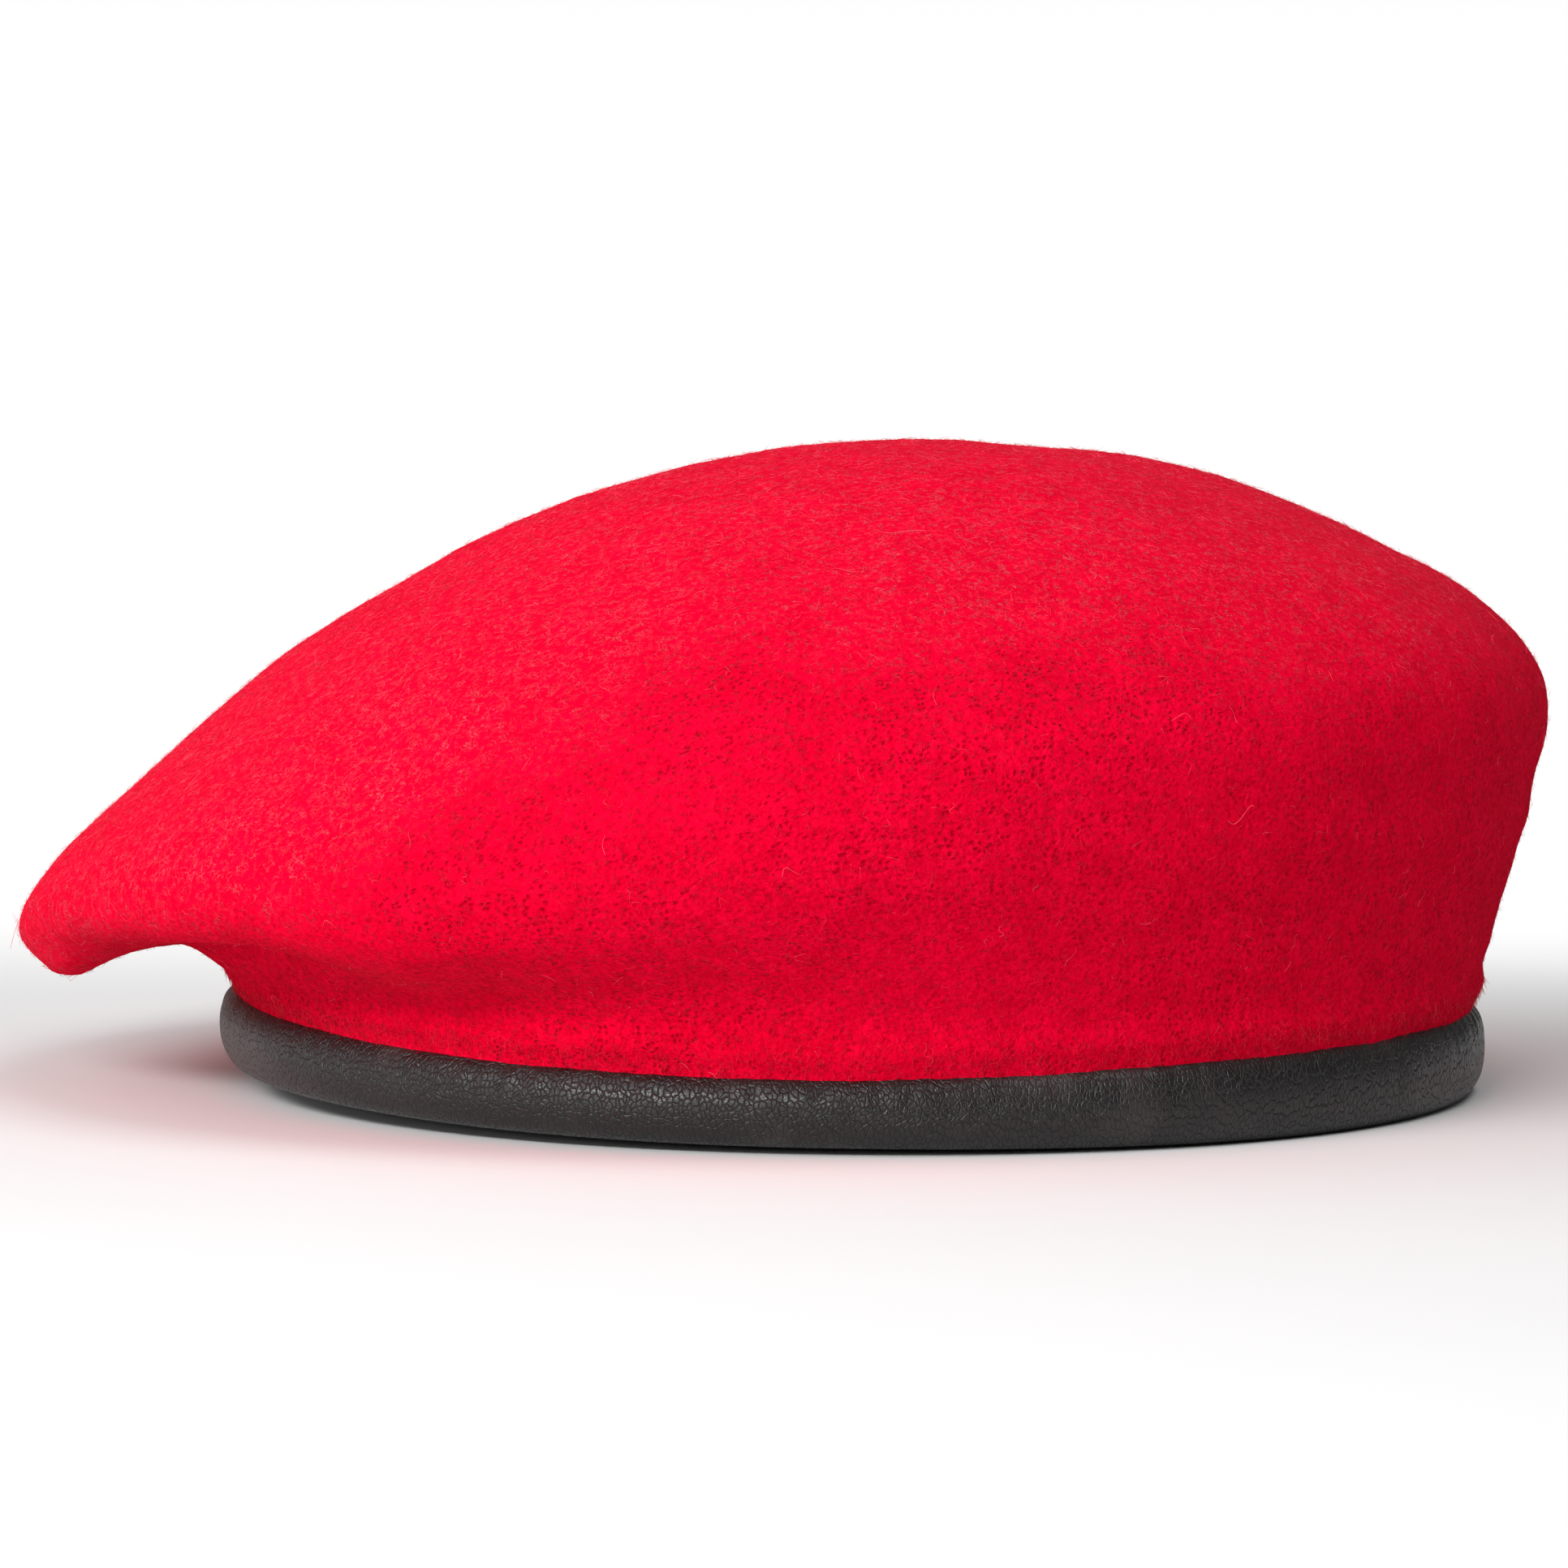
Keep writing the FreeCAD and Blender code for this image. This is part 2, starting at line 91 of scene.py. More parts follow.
# The knit: loops round the hat, and the height of one row of them
WALES = 620
COURSE = 0.95
# Where the crown's paler nap starts, partly real lint and partly painted sheen of the lit top: it reaches
# lower toward the drape, to paint the sheen on its tip
CROWN_LEAN = 0.5
CROWN_START = 15.0

# Round each vent: the hole, where the felt is pressed flat, where that ends, and the bare felt
VENT_HOLE = 3.3
VENT_FLANGE = 4.8
VENT_EASE = 9.0
VENT_CLEARANCE = 6.5

LEATHER_COLUMNS = 1180
ROLL_RADIUS = 94.0
# The roll's round outside as (radius, height): its middle, and how far it reaches from there
ROLL_MIDDLE = (93.3, 5.6)
ROLL_REACH = (3.25, 5.6)
# Half the gap at the join at the back, as a turn
JOIN_HALF_TURN = 0.01 / 90

# The slit for the tape's knot, cut from inside the band (NEAR) to the tape's face (FAR)
SLIT_WIDTH = 16.0
SLIT_HEIGHT = 6.4
SLIT_FOOT = 2.0
SLIT_NEAR = 89.4
SLIT_FAR = 91.72

# Stitches dip by SINK at their ends
THREAD_RADIUS = 0.17
LABEL_THREAD_RADIUS = 0.13
STITCH_PITCH = 4.0
STITCH_LENGTH = 2.6
STITCH_SINK = 0.20

LINING_COLUMNS = 288
LINING_FOOT = 19.2
LINING_DEPTH = 3.4
LINING_DEEPEST = 5.2
CLOTH_THICKNESS = 0.3

CAMERA_PLACE = (-10.6, -700, 78.8)
CAMERA_TARGET = (-10.6, 0, 44.6)
CAMERA_LENS = 105.9
CAMERA_ROLL = 0.31
LIGHT_TARGET = (0, 0, 40)
# Each light's place, size and power
LIGHTS = {
    "key_light": ((-430, -680, 450), (760, 170), 6.3),
    "low_light": ((-500, -620, 150), (160, 120), 0.6),
    "top_light": ((240, -250, 840), (560, 560), 2.7),
}
STUDIO_GREY = 0.08
STUDIO_LEFT = 0.75
STUDIO_ABOVE = 0.20
FLOOR_SIZE = 9000.0


# ---- shape of the crown


def natural_spline(knots, values, at):
    """Rows of values at the knots, joined by a natural cubic spline and read at the places in at."""
    n = len(knots)
    gap = np.diff(knots)
    rule = np.eye(n)
    side = np.zeros_like(values)
    for i in range(1, n - 1):
        rule[i, i - 1:i + 2] = gap[i - 1], 2 * (gap[i - 1] + gap[i]), gap[i]
        side[i] = 6 * ((values[i + 1] - values[i]) / gap[i] - (values[i] - values[i - 1]) / gap[i - 1])
    bend = np.linalg.solve(rule, side)
    at = np.asarray(at, float)
    k = np.clip(np.searchsorted(knots, at) - 1, 0, n - 2)
    h = gap[k][..., None]
    after = (at - knots[k])[..., None]
    before = h - after
    curve = (bend[k] * before**3 + bend[k + 1] * after**3) / (6 * h)
    from_last = (values[k] / h - bend[k] * h / 6) * before
    to_next = (values[k + 1] / h - bend[k + 1] * h / 6) * after
    return curve + from_last + to_next


def ring_table():
    """How far up the felt each ring is, on average round it, and the rings' numbers."""
    rows = np.array(list(RINGS.values()))
    steps = np.abs(np.diff(rows, axis=0))
    right = np.hypot(steps[:, 0], steps[:, 1])
    left = np.hypot(steps[:, 2], steps[:, 3])
    front = np.hypot(steps[:, 4], (steps[:, 1] + steps[:, 3]) / 2)
    knots = np.concatenate([[0.0], np.cumsum((right + left + 2 * front) / 4)])
    return knots, rows


RING_KNOTS, RING_ROWS = ring_table()
TOP = RING_KNOTS[-1]
RIM = RING_KNOTS[list(RINGS).index("rim")]


def form(turn, climb):
    """Points on the felt's plain outer face, as it was cut to."""
    turn, climb = np.broadcast_arrays(turn, climb)
    numbers = natural_spline(RING_KNOTS, RING_ROWS, climb)
    right_x, right_z, left_x, left_z, depth = np.moveaxis(numbers, -1, 0)
    middle_x, middle_z = (right_x + left_x) / 2, (right_z + left_z) / 2
    half_x, half_z = (left_x - right_x) / 2, (left_z - right_z) / 2
    x = middle_x + half_x * np.cos(turn)
    z = middle_z + half_z * np.cos(turn)
    return np.stack([x, depth * np.sin(turn), z], axis=-1)


def unit(vectors):
    return vectors / np.maximum(np.linalg.norm(vectors, axis=-1, keepdims=True), 1e-12)


def form_normal(turn, climb):
    step = 0.02
    climb = np.minimum(climb, TOP - 2 * step)
    around = form(turn + step / 50, climb) - form(turn - step / 50, climb)
    up = form(turn, climb + step) - form(turn, climb - step)
    return unit(np.cross(around, up))


def smooth_step(low, high, value):
    """0 before low and 1 past high, with an even turn between; low may be the larger."""
    share = np.clip((value - low) / (high - low), 0, 1)
    return share * share * (3 - 2 * share)


def bump(centre, width, value):
    return np.exp(-(((value - centre) / width) ** 2))


def settle(points):
    """Moves points of the pattern to where they are on the real hat, whose band doesn't lie quite flat."""
    x, y, z = points[..., 0], points[..., 1], points[..., 2]
    turn = np.arctan2(y, x)
    radius = np.hypot(x, y)
    at_band = (1 - smooth_step(12, 20, z)) * (1 - smooth_step(97, 102, radius))
    lift = BAND_LIFT * np.clip(-np.cos(turn), 0, 1) ** 2.5 * at_band
    front = np.clip(-np.sin(turn + 0.25), 0, 1) ** 3
    lift = lift + BAND_BOW * front * at_band
    tilt = BAND_TILT * np.clip(np.cos(turn), 0, 1) - (BAND_SAG + BAND_BOW) * front
    tilt = tilt * smooth_step(2, 10, z) * (1 - smooth_step(12, 24, z))
    tilt = tilt * (1 - smooth_step(97, 102, radius))
    # The drape's rim is lowest at its tip and rises towards the front and the back
    under = (1 - smooth_step(20, 62, z)) * smooth_step(14, 18, z) * smooth_step(96, 104, radius)
    rise = DRAPE_LIFT_TIP + DRAPE_LIFT_SIDES * smooth_step(4, 52, np.abs(y))
    drape = rise * smooth_step(-58, -88, x) * under
    draw_in = DRAW_IN_LEFT * smooth_step(40, 100, x) * (1 - 0.8 * smooth_step(42, 66, z))
    draw_in = draw_in - DRAW_IN_TIP * smooth_step(-75, -118, x)
    return np.stack([x - draw_in, y, z + lift + tilt + drape], axis=-1)


def on_form(turn, climb, depth=0.0):
    """Points at a depth inside the felt's outer face, settled."""
    return settle(form(turn, climb) - form_normal(turn, climb) * np.asarray(depth)[..., None])


# ---- making meshes


def add_object(name, data):
    made = bpy.data.objects.new(name, data)
    bpy.context.scene.collection.objects.link(made)
    return made


def mesh_object(name, points, faces, smooth=True):
    """An object from points in millimetres."""
    mesh = bpy.data.meshes.new(name)
    mesh.from_pydata((np.asarray(points).reshape(-1, 3) * MM).tolist(), [], faces)
    if smooth:
        mesh.polygons.foreach_set("use_smooth", [True] * len(mesh.polygons))
    mesh.update()
    return add_object(name, mesh)


def even_turns(count):
    """Turns spaced evenly round the hat, from +X."""
    return np.arange(count) * FULL_TURN / count


def grid_faces(rows, columns, closed=False, looped=False):
    """Quads between rows of points. closed joins each row's ends, and looped the last row to the first."""
    faces = []
    for i in range(rows if looped else rows - 1):
        for j in range(columns if closed else columns - 1):
            k = (j + 1) % columns
            a, b = i * columns, (i + 1) % rows * columns
            faces.append((a + j, a + k, b + k, b + j))
    return faces


def fan_faces(rows, columns):
    """Triangles from the last of the rows to the one point that follows them."""
    last, top = (rows - 1) * columns, rows * columns
    return [(last + j, last + (j + 1) % columns, top) for j in range(columns)]


def turned(radius, height, turn):
    """Points at a radius and a height, at each turn round Z."""
    radius, height, turn = np.broadcast_arrays(radius, height, turn)
    return np.stack([radius * np.cos(turn), radius * np.sin(turn), height], axis=-1)


def way_round(outline):
    """How far round a closed outline each of its points is, with its first point again at the end."""
    steps = np.linalg.norm(np.diff(np.concatenate([outline, outline[:1]]), axis=0), axis=-1)
    return np.concatenate([[0], np.cumsum(steps)])


def set_uv(made, name, corners):
    """Gives a mesh a UV map: one (u, v) for each corner of each face, in the faces' own order."""
    layer = made.data.uv_layers.new(name=name)
    layer.data.foreach_set("uv", np.asarray(corners, np.float32).ravel())


def grid_uv(rows, columns, closed, u, v):
    """The corners' (u, v) for grid_faces, with u at each column (and once more if closed), v at each row."""
    spans = columns if closed else columns - 1
    i, j = np.meshgrid(np.arange(rows - 1), np.arange(spans), indexing="ij")
    corners = [(u[j], v[i]), (u[j + 1], v[i]), (u[j + 1], v[i + 1]), (u[j], v[i + 1])]
    return np.stack([np.stack(c, axis=-1) for c in corners], axis=2).reshape(-1, 2)


def fan_uv(u, low, high):
    """The corners' (u, v) for fan_faces."""
    corners = [[(u[j], low), (u[j + 1], low), (u[j], high)] for j in range(len(u) - 1)]
    return np.array(corners).reshape(-1, 2)


def apply_modifiers(made):
    """Makes the object's mesh what its modifiers turn it into."""
    bpy.context.view_layer.update()
    graph = bpy.context.evaluated_depsgraph_get()
    mesh = bpy.data.meshes.new_from_object(made.evaluated_get(graph), depsgraph=graph)
    made.modifiers.clear()
    old, made.data = made.data, mesh
    bpy.data.meshes.remove(old)
    return made


def thicken(made, thickness):
    """Gives an open sheet its thickness, inward from the face it has."""
    skin = made.modifiers.new("skin", "SOLIDIFY")
    skin.thickness = thickness * MM
    skin.offset = -1.0
    skin.use_even_offset = True
    skin.use_quality_normals = True
    return apply_modifiers(made)


def tubes(name, paths, radius, sides, taper=None, ply=0.0, twist=0.0):
    """One mesh with a round tube along each path; ply and twist make it look like twisted strands."""
    paths = np.asarray(paths, float)
    count, length, _ = paths.shape
    along = unit(np.gradient(paths, axis=1))
    mean = np.abs(unit(paths[:, -1] - paths[:, 0]))
    reference = np.eye(3)[np.argmin(mean, axis=-1)][:, None, :]
    across = unit(np.cross(along, np.broadcast_to(reference, along.shape)))
    over = np.cross(along, across)
    angle = even_turns(sides)
    place = np.linspace(0, 1, length)
    thick = np.broadcast_to(np.asarray(radius, float).reshape(-1, 1), (count, length))
    if taper is not None:
        thick = thick * np.asarray(taper)[None, :]
    swell = 1 + ply * np.cos(2 * (angle[None, :] - twist * FULL_TURN * place[:, None]))
    reach = thick[:, :, None] * swell[None]
    ring = across[:, :, None] * np.cos(angle)[:, None] + over[:, :, None] * np.sin(angle)[:, None]
    points = paths[:, :, None, :] + reach[..., None] * ring
    start = np.arange(count) * length * sides
    i, j = np.meshgrid(np.arange(length - 1), np.arange(sides), indexing="ij")
    k = (j + 1) % sides
    near, far = i * sides, (i + 1) * sides
    quads = np.stack([near + j, near + k, far + k, far + j], axis=-1).reshape(-1, 4)
    faces = (start[:, None, None] + quads[None]).reshape(-1, 4).tolist()
    foot = np.arange(sides)[::-1]
    tip = (length - 1) * sides + np.arange(sides)
    faces += (start[:, None] + foot[None]).tolist() + (start[:, None] + tip[None]).tolist()
    return mesh_object(name, points, faces)


def lathe(name, outline, segments):
    """A closed outline of (radius, height) points turned about Z."""
    outline = np.array(outline, float)
    points = turned(outline[:, :1], outline[:, 1:], even_turns(segments))
    return mesh_object(name, points, grid_faces(len(outline), segments, closed=True, looped=True))


def rough_noise(points, size, seed, octaves=3):
    """Fractal noise, about -1 to 1, at each point, with features of about size mm."""
    flat = points.reshape(-1, 3)
    shift = Vector((seed * 13.7, seed * 7.1, seed * 3.3))
    values = [noise.fractal(Vector(p) / size + shift, 1.0, 2.0, octaves) for p in flat.tolist()]
    return np.array(values).reshape(points.shape[:-1])


# ---- materials


# The wave texture repeats every 2 pi / 20 at a scale of 1
WAVE_SCALE = 0.314159


class Nodes:
    """Builds a node tree. An input is linked to a socket, and set to any other value."""

    def __init__(self, tree):
        self.tree = tree

    def put(self, socket, value):
        if isinstance(value, bpy.types.NodeSocket):
            self.tree.links.new(value, socket)
        else:
            socket.default_value = (*value, 1) if socket.type == "RGBA" else value

    def add(self, kind, inputs, **settings):
        node = self.tree.nodes.new(kind)
        for name, value in settings.items():
            setattr(node, name, value)
        for name, value in inputs.items():
            self.put(node.inputs[name], value)
        return node

    def math(self, operation, *values):
        return self.add("ShaderNodeMath", dict(enumerate(values)), operation=operation).outputs[0]

    def vector(self, operation, vector, other):
        slot = 3 if operation == "SCALE" else 1
        return self.add("ShaderNodeVectorMath", {0: vector, slot: other}, operation=operation).outputs[0]

    def parts(self, vector):
        return self.add("ShaderNodeSeparateXYZ", {0: vector}).outputs

    def times(self, first, second):
        return self.math("MULTIPLY", first, second)

    def plus(self, first, second):
        return self.math("ADD", first, second)

    def step(self, value, low, high, to=(0.0, 1.0)):
        node = self.add(
            "ShaderNodeMapRange",
            {"Value": value, "From Min": low, "From Max": high, "To Min": to[0], "To Max": to[1]},
            interpolation_type="SMOOTHSTEP",
        )
        return node.outputs["Result"]

    def mix(self, share, first, second):
        node = self.tree.nodes.new("ShaderNodeMix")
        node.data_type = "RGBA"
        self.put(node.inputs[0], share)
        self.put(node.inputs[6], first)
        self.put(node.inputs[7], second)
        return node.outputs[2]

    def place(self):
        """The point on the object, in millimetres."""
        point = self.tree.nodes.new("ShaderNodeTexCoord").outputs["Object"]
        return self.vector("SCALE", point, 1 / MM)

    def uv(self, name):
        return self.add("ShaderNodeUVMap", {}, uv_map=name).outputs[0]

    def noise(self, vector, size, detail=2.0, roughness=0.5, distortion=0.0):
        inputs = {"Vector": vector, "Scale": 1 / size, "Detail": detail, "Roughness": roughness}
        return self.add("ShaderNodeTexNoise", {**inputs, "Distortion": distortion}).outputs["Fac"]

    def shaken(self, vector, size, amount):
        """The vector moved about by noise."""
        inputs = {"Vector": vector, "Scale": 1 / size, "Detail": 2.0}
        colour = self.add("ShaderNodeTexNoise", inputs).outputs["Color"]
        centred = self.vector("SUBTRACT", colour, (0.5, 0.5, 0.5))
        return self.vector("ADD", vector, self.vector("SCALE", centred, amount))

    def cells(self, vector, size, feature="F1", randomness=1.0, dimensions="3D"):
        inputs = {"Vector": vector, "Scale": 1 / size, "Randomness": randomness}
        node = self.add("ShaderNodeTexVoronoi", inputs, feature=feature, voronoi_dimensions=dimensions)
        return node.outputs["Distance"]

    def wave(self, vector, pitch, direction):
        """Stripes, a pitch apart, across one axis of the vector."""
        inputs = {"Vector": vector, "Scale": WAVE_SCALE / pitch}
        node = self.add("ShaderNodeTexWave", inputs, bands_direction=direction, wave_profile="SIN")
        return node.outputs["Fac"]

    def relief(self, height, depth, strength=1.0):
        """A bump whose height input, from 0 to 1, stands for depth in millimetres."""
        inputs = {"Height": height, "Distance": depth * MM, "Strength": strength}
        return self.add("ShaderNodeBump", inputs).outputs["Normal"]


class Shader(Nodes):
    """The nodes of one new material."""

    def __init__(self, name):
        self.material = bpy.data.materials.new(name)
        self.material.use_nodes = True
        super().__init__(self.material.node_tree)
        self.surface = next(n for n in self.tree.nodes if n.type == "BSDF_PRINCIPLED")

    def finish(self, **inputs):
        for name, value in inputs.items():
            self.put(self.surface.inputs[name.replace("_", " ")], value)
        return self.material


def felt_material():
    """Fulled wool: knitted rows that show as pits where the nap is rubbed thin, with painted shade in the
    pits, under brushed, curling fibres that are paler on the crown, partly as painted sheen.
    """
    s = Shader("fulled_wool")
    place = s.place()
    knit = s.uv("knit")
    nap = s.noise(place, 26.0, 3.0)
    # The crown mask paints sheen on the lit top and, leaning toward the drape, on its tip: it thins the pits
    # and the dark mottle and adds pale fibres, partly real lint
    across, _, height = s.parts(place)
    toward_tip = s.math("MAXIMUM", s.math("SUBTRACT", s.times(across, -1.0), CROWN_START), 0.0)
    height = s.plus(height, s.times(toward_tip, CROWN_LEAN))
    crown = s.step(s.plus(height, s.times(nap, 30.0)), 68.0, 100.0)
    # The pits between the knitted loops, in staggered rows
    rows = s.shaken(s.shaken(knit, 6.0, 1.6), 1.3, 0.9)
    pit = s.step(s.cells(rows, 1.0, randomness=0.8, dimensions="2D"), 0.42, 0.03)
    pit = s.times(pit, s.step(s.noise(place, 1.7, 2.0), 0.38, 0.66, (0.10, 0.85)))
    pit = s.times(pit, s.step(nap, 0.66, 0.38, (0.5, 1.0)))
    pit = s.times(pit, s.step(crown, 0.0, 1.0, (1.0, 0.12)))
    # Two layers of crossing fibres, each the web between stretched, shaken cells
    web = s.cells(s.shaken(place, 0.8, 1.4), 0.95, "DISTANCE_TO_EDGE")
    fine_web = s.cells(s.shaken(place, 0.4, 0.8), 0.45, "DISTANCE_TO_EDGE")
    wisp = s.times(s.step(web, 0.08, 0.0), s.step(s.noise(place, 1.6, 4.0), 0.50, 0.60))
    lint = s.times(s.step(fine_web, 0.12, 0.0), s.step(s.noise(place, 1.0, 3.0), 0.48, 0.60))
    fuzz = s.noise(s.shaken(place, 1.2, 0.8), 0.75, 4.0, 0.7, 0.6)
    cloud = s.noise(place, 6.0, 4.0, 0.55)
    # Colour: painted shade in the pits, red on the nap, and paler fibres over it, which on the crown are
    # partly painted sheen
    red = s.mix(s.step(cloud, 0.34, 0.66), (0.74, 0.0008, 0.026), (0.83, 0.0012, 0.032))
    # Darker where the fuzz is low: random mottle, and painted shade in the nap's low places, with less of it
    # on the crown
    dim = s.times(s.step(fuzz, 0.60, 0.38), s.step(crown, 0.0, 1.0, (0.55, 0.30)))
    red = s.mix(dim, red, (0.46, 0.0, 0.012))
    # The pits are painted darker: painted shade in the knit's hollows
    red = s.mix(s.times(pit, 0.66), red, (0.32, 0.0, 0.008))
    # Pale fibres, many more on the crown: partly real lint, partly painted sheen
    pale = s.step(crown, 0.0, 1.0, (0.05, 0.62))
    red = s.mix(s.times(lint, pale), red, (0.96, 0.045, 0.075))
    red = s.mix(s.times(wisp, pale), red, (0.98, 0.115, 0.165))
    rise = s.math("SUBTRACT", s.times(fuzz, 0.55), s.times(pit, 0.9))
    rise = s.plus(rise, s.times(wisp, 0.30))
    rise = s.plus(rise, s.times(cloud, 0.9))
    return s.finish(
        Base_Color=red,
        Roughness=0.95,
        Specular_IOR_Level=0.0,
        Sheen_Weight=0.06,
        Sheen_Roughness=0.30,
        Sheen_Tint=(1.0, 0.30, 0.34),
        Normal=s.relief(rise, 0.45, 0.9),
    )


def fibre_material(name, dark, pale, sheen):
    """Single wool fibres, each with its own depth of dye along its length."""
    s = Shader(name)
    place = s.place()
    dye = s.step(s.noise(place, 3.0, 3.0), 0.34, 0.66)
    return s.finish(
        Base_Color=s.mix(dye, dark, pale),
        Roughness=0.7,
        Specular_IOR_Level=0.3,
        Sheen_Weight=sheen,
        Sheen_Tint=(1.0, 0.6, 0.6),
        Normal=s.relief(s.noise(place, 0.15, 2.0), 0.02, 0.5),
    )


def leather_material():
    """Thin black hide: a fine crackled grain drawn out over the roll, with painted shade in its grooves,
    rubbed brown-grey in places, and painted brown-grey at its end on the wearer's right as a reflection of
    the bright studio.
    """
    s = Shader("black_hide")
    place = s.place()
    strip = s.uv("strip")
    shaken = s.shaken(strip, 2.0, 1.2)
    drawn = s.vector("MULTIPLY", shaken, (1.0, 0.55, 1.0))
    grain = s.cells(drawn, 0.72, "DISTANCE_TO_EDGE", dimensions="2D")
    fine = s.cells(s.shaken(strip, 1.0, 0.6), 0.46, "DISTANCE_TO_EDGE", dimensions="2D")
    plump = s.step(grain, 0.0, 0.20)
    pore = s.step(fine, 0.0, 0.16)
    # Rubbed patches are real wear; the end on the wearer's right (-X) is painted brown-grey as a reflection
    # of the bright studio on that side
    wear_and_painted_reflection = s.step(s.noise(place, 16.0, 4.0, 0.6), 0.50, 0.74)
    wear_and_painted_reflection = s.math("MAXIMUM", s.times(wear_and_painted_reflection, 0.35), s.step(s.parts(place)["X"], -80.0, -97.0))
    dust = s.noise(place, 0.5, 3.0)
    # The grooves are painted darker than the plump cells: painted shade in the crackle
    hide = s.mix(plump, (0.0012, 0.0012, 0.0013), (0.0046, 0.0042, 0.0041))
    hide = s.mix(s.times(wear_and_painted_reflection, 0.85), hide, (0.072, 0.060, 0.054))
    shine = s.plus(s.step(dust, 0.3, 0.7, (0.30, 0.38)), s.times(wear_and_painted_reflection, 0.14))
    shine = s.plus(shine, s.step(grain, 0.10, 0.03, (0.0, 0.40)))
    rise = s.plus(s.times(plump, 0.62), s.times(pore, 0.16))
    rise = s.plus(rise, s.times(s.noise(place, 3.4, 2.0), 0.5))
    return s.finish(
        Base_Color=hide,
        Roughness=shine,
        Specular_IOR_Level=0.58,
        Normal=s.relief(rise, 0.13, 1.0),
    )


def woven_material(name, pitch, dark, pale, roughness=0.85, sheen=0.2, depth=0.12):
    """Plain weave: ribs both ways that go over and under each other, with painted shade in the hollows
    between them.
    """
    s = Shader(name)
    cloth = s.uv("weave")
    shaken = s.shaken(cloth, 3.0, pitch * 0.35)
    warp = s.wave(shaken, pitch, "X")
    weft = s.wave(shaken, pitch, "Y")
    over = s.times(s.wave(shaken, pitch * 2, "X"), s.wave(shaken, pitch * 2, "Y"))
    rib = s.plus(s.times(warp, 0.5), s.times(weft, 0.5))
    height = s.plus(rib, s.times(over, 0.5))
    mottle = s.noise(s.place(), 1.5, 3.0)
    # Colour follows the ribs' height, with painted shade in their hollows, plus real random mottle
    rib_shade_and_mottle = s.plus(s.times(height, 0.6), s.times(mottle, 0.3))
    return s.finish(
        Base_Color=s.mix(s.step(rib_shade_and_mottle, 0.15, 0.95), dark, pale),
        Roughness=roughness,
        Specular_IOR_Level=0.3,
        Sheen_Weight=sheen,
        Normal=s.relief(height, depth, 0.8),
    )


def thread_material(name, dark, pale):
    """Twisted thread, with painted shade between its strands."""
    s = Shader(name)
    ply = s.noise(s.place(), 0.18, 3.0, 0.6, 0.8)
    # The strands' low places are painted darker: painted shade
    return s.finish(
        Base_Color=s.mix(ply, dark, pale),
        Roughness=0.6,
        Sheen_Weight=0.25,
        Normal=s.relief(ply, 0.05, 0.7),
    )


def vent_material():
    """Black lacquer over brass, chipped a little on its edges."""
    s = Shader("lacquered_brass")
    place = s.place()
    edge = s.add("ShaderNodeNewGeometry", {}).outputs["Pointiness"]
    chip = s.times(s.step(edge, 0.53, 0.60), s.step(s.noise(place, 0.9, 4.0, 0.6), 0.52, 0.60))
    return s.finish(
        Base_Color=s.mix(chip, (0.012, 0.012, 0.013), (0.52, 0.36, 0.15)),
        Metallic=chip,
        Roughness=s.step(s.noise(place, 0.6, 3.0), 0.3, 0.7, (0.26, 0.42)),
        Normal=s.relief(s.noise(place, 0.35, 3.0), 0.03, 0.5),
    )


def floor_material():
    """A pale table that brightens to white behind the hat."""
    s = Shader("pale_table")
    place = s.place()
    across, along, _ = s.parts(place)
    aside = s.math("SUBTRACT", s.math("ABSOLUTE", across), s.times(along, 0.22))
    glow = s.times(s.step(along, 40.0, 300.0), s.step(aside, 620.0, 300.0))
    tone = s.mix(s.noise(place, 60.0, 3.0), (0.80, 0.80, 0.80), (0.82, 0.82, 0.82))
    return s.finish(
        Base_Color=s.mix(glow, tone, (0, 0, 0)),
        Roughness=0.8,
        Specular_IOR_Level=0.0,
        Emission_Color=s.mix(glow, (0, 0, 0), (1, 1, 1)),
        Emission_Strength=1.0,
    )


# ---- felt


def felt_relief(turn, climb, points):
    """How far the felt stands out: slack waves by the band, a puff over it, creases and an uneven nap."""
    height = points[..., 2]
    right = np.clip(-np.cos(turn), 0, 1)
    front_left = bump(-0.55, 0.55, turn) + bump(-0.55 + FULL_TURN, 0.55, turn)
    waves = np.sin(9 * turn + 0.6) + 0.7 * np.sin(14 * turn + 2.1) + 0.5 * np.sin(23 * turn + 0.3)
    slack = waves * 0.26 * bump(20, 8, climb) * (0.5 + 1.1 * right)
    folds = np.sin(11 * turn + 1.3 + climb / 40) * 0.45 * bump(34, 12, climb) * right**2
    crease = (0.55 * bump(41, 3.0, height) - 0.75 * bump(47.5, 4.0, height)) * front_left
    puff = 1.3 * bump(6.6, 2.8, climb)
    broad = rough_noise(points, 46.0, 1, 2) * 0.75
    nap = rough_noise(points, 9.0, 2, 3) * 0.20 + rough_noise(points, 2.6, 3, 2) * 0.10
    near_band = smooth_step(3.5, 9.0, climb)
    return (slack + folds + crease + broad) * near_band + puff + nap * near_band


def felt_rows():
    """Climbs of the felt's rows: even, but closer together by the crease and round the rim."""
    fine = np.linspace(0, TOP - 0.8, 4000)
    density = 1 + 1.3 * bump(6, 10, fine) + 0.9 * bump(RIM, 16, fine) - 0.25 * smooth_step(150, 180, fine)
    total = np.concatenate([[0], np.cumsum((density[1:] + density[:-1]) / 2)])
    return np.interp(np.linspace(0, total[-1], FELT_ROWS), total, fine)


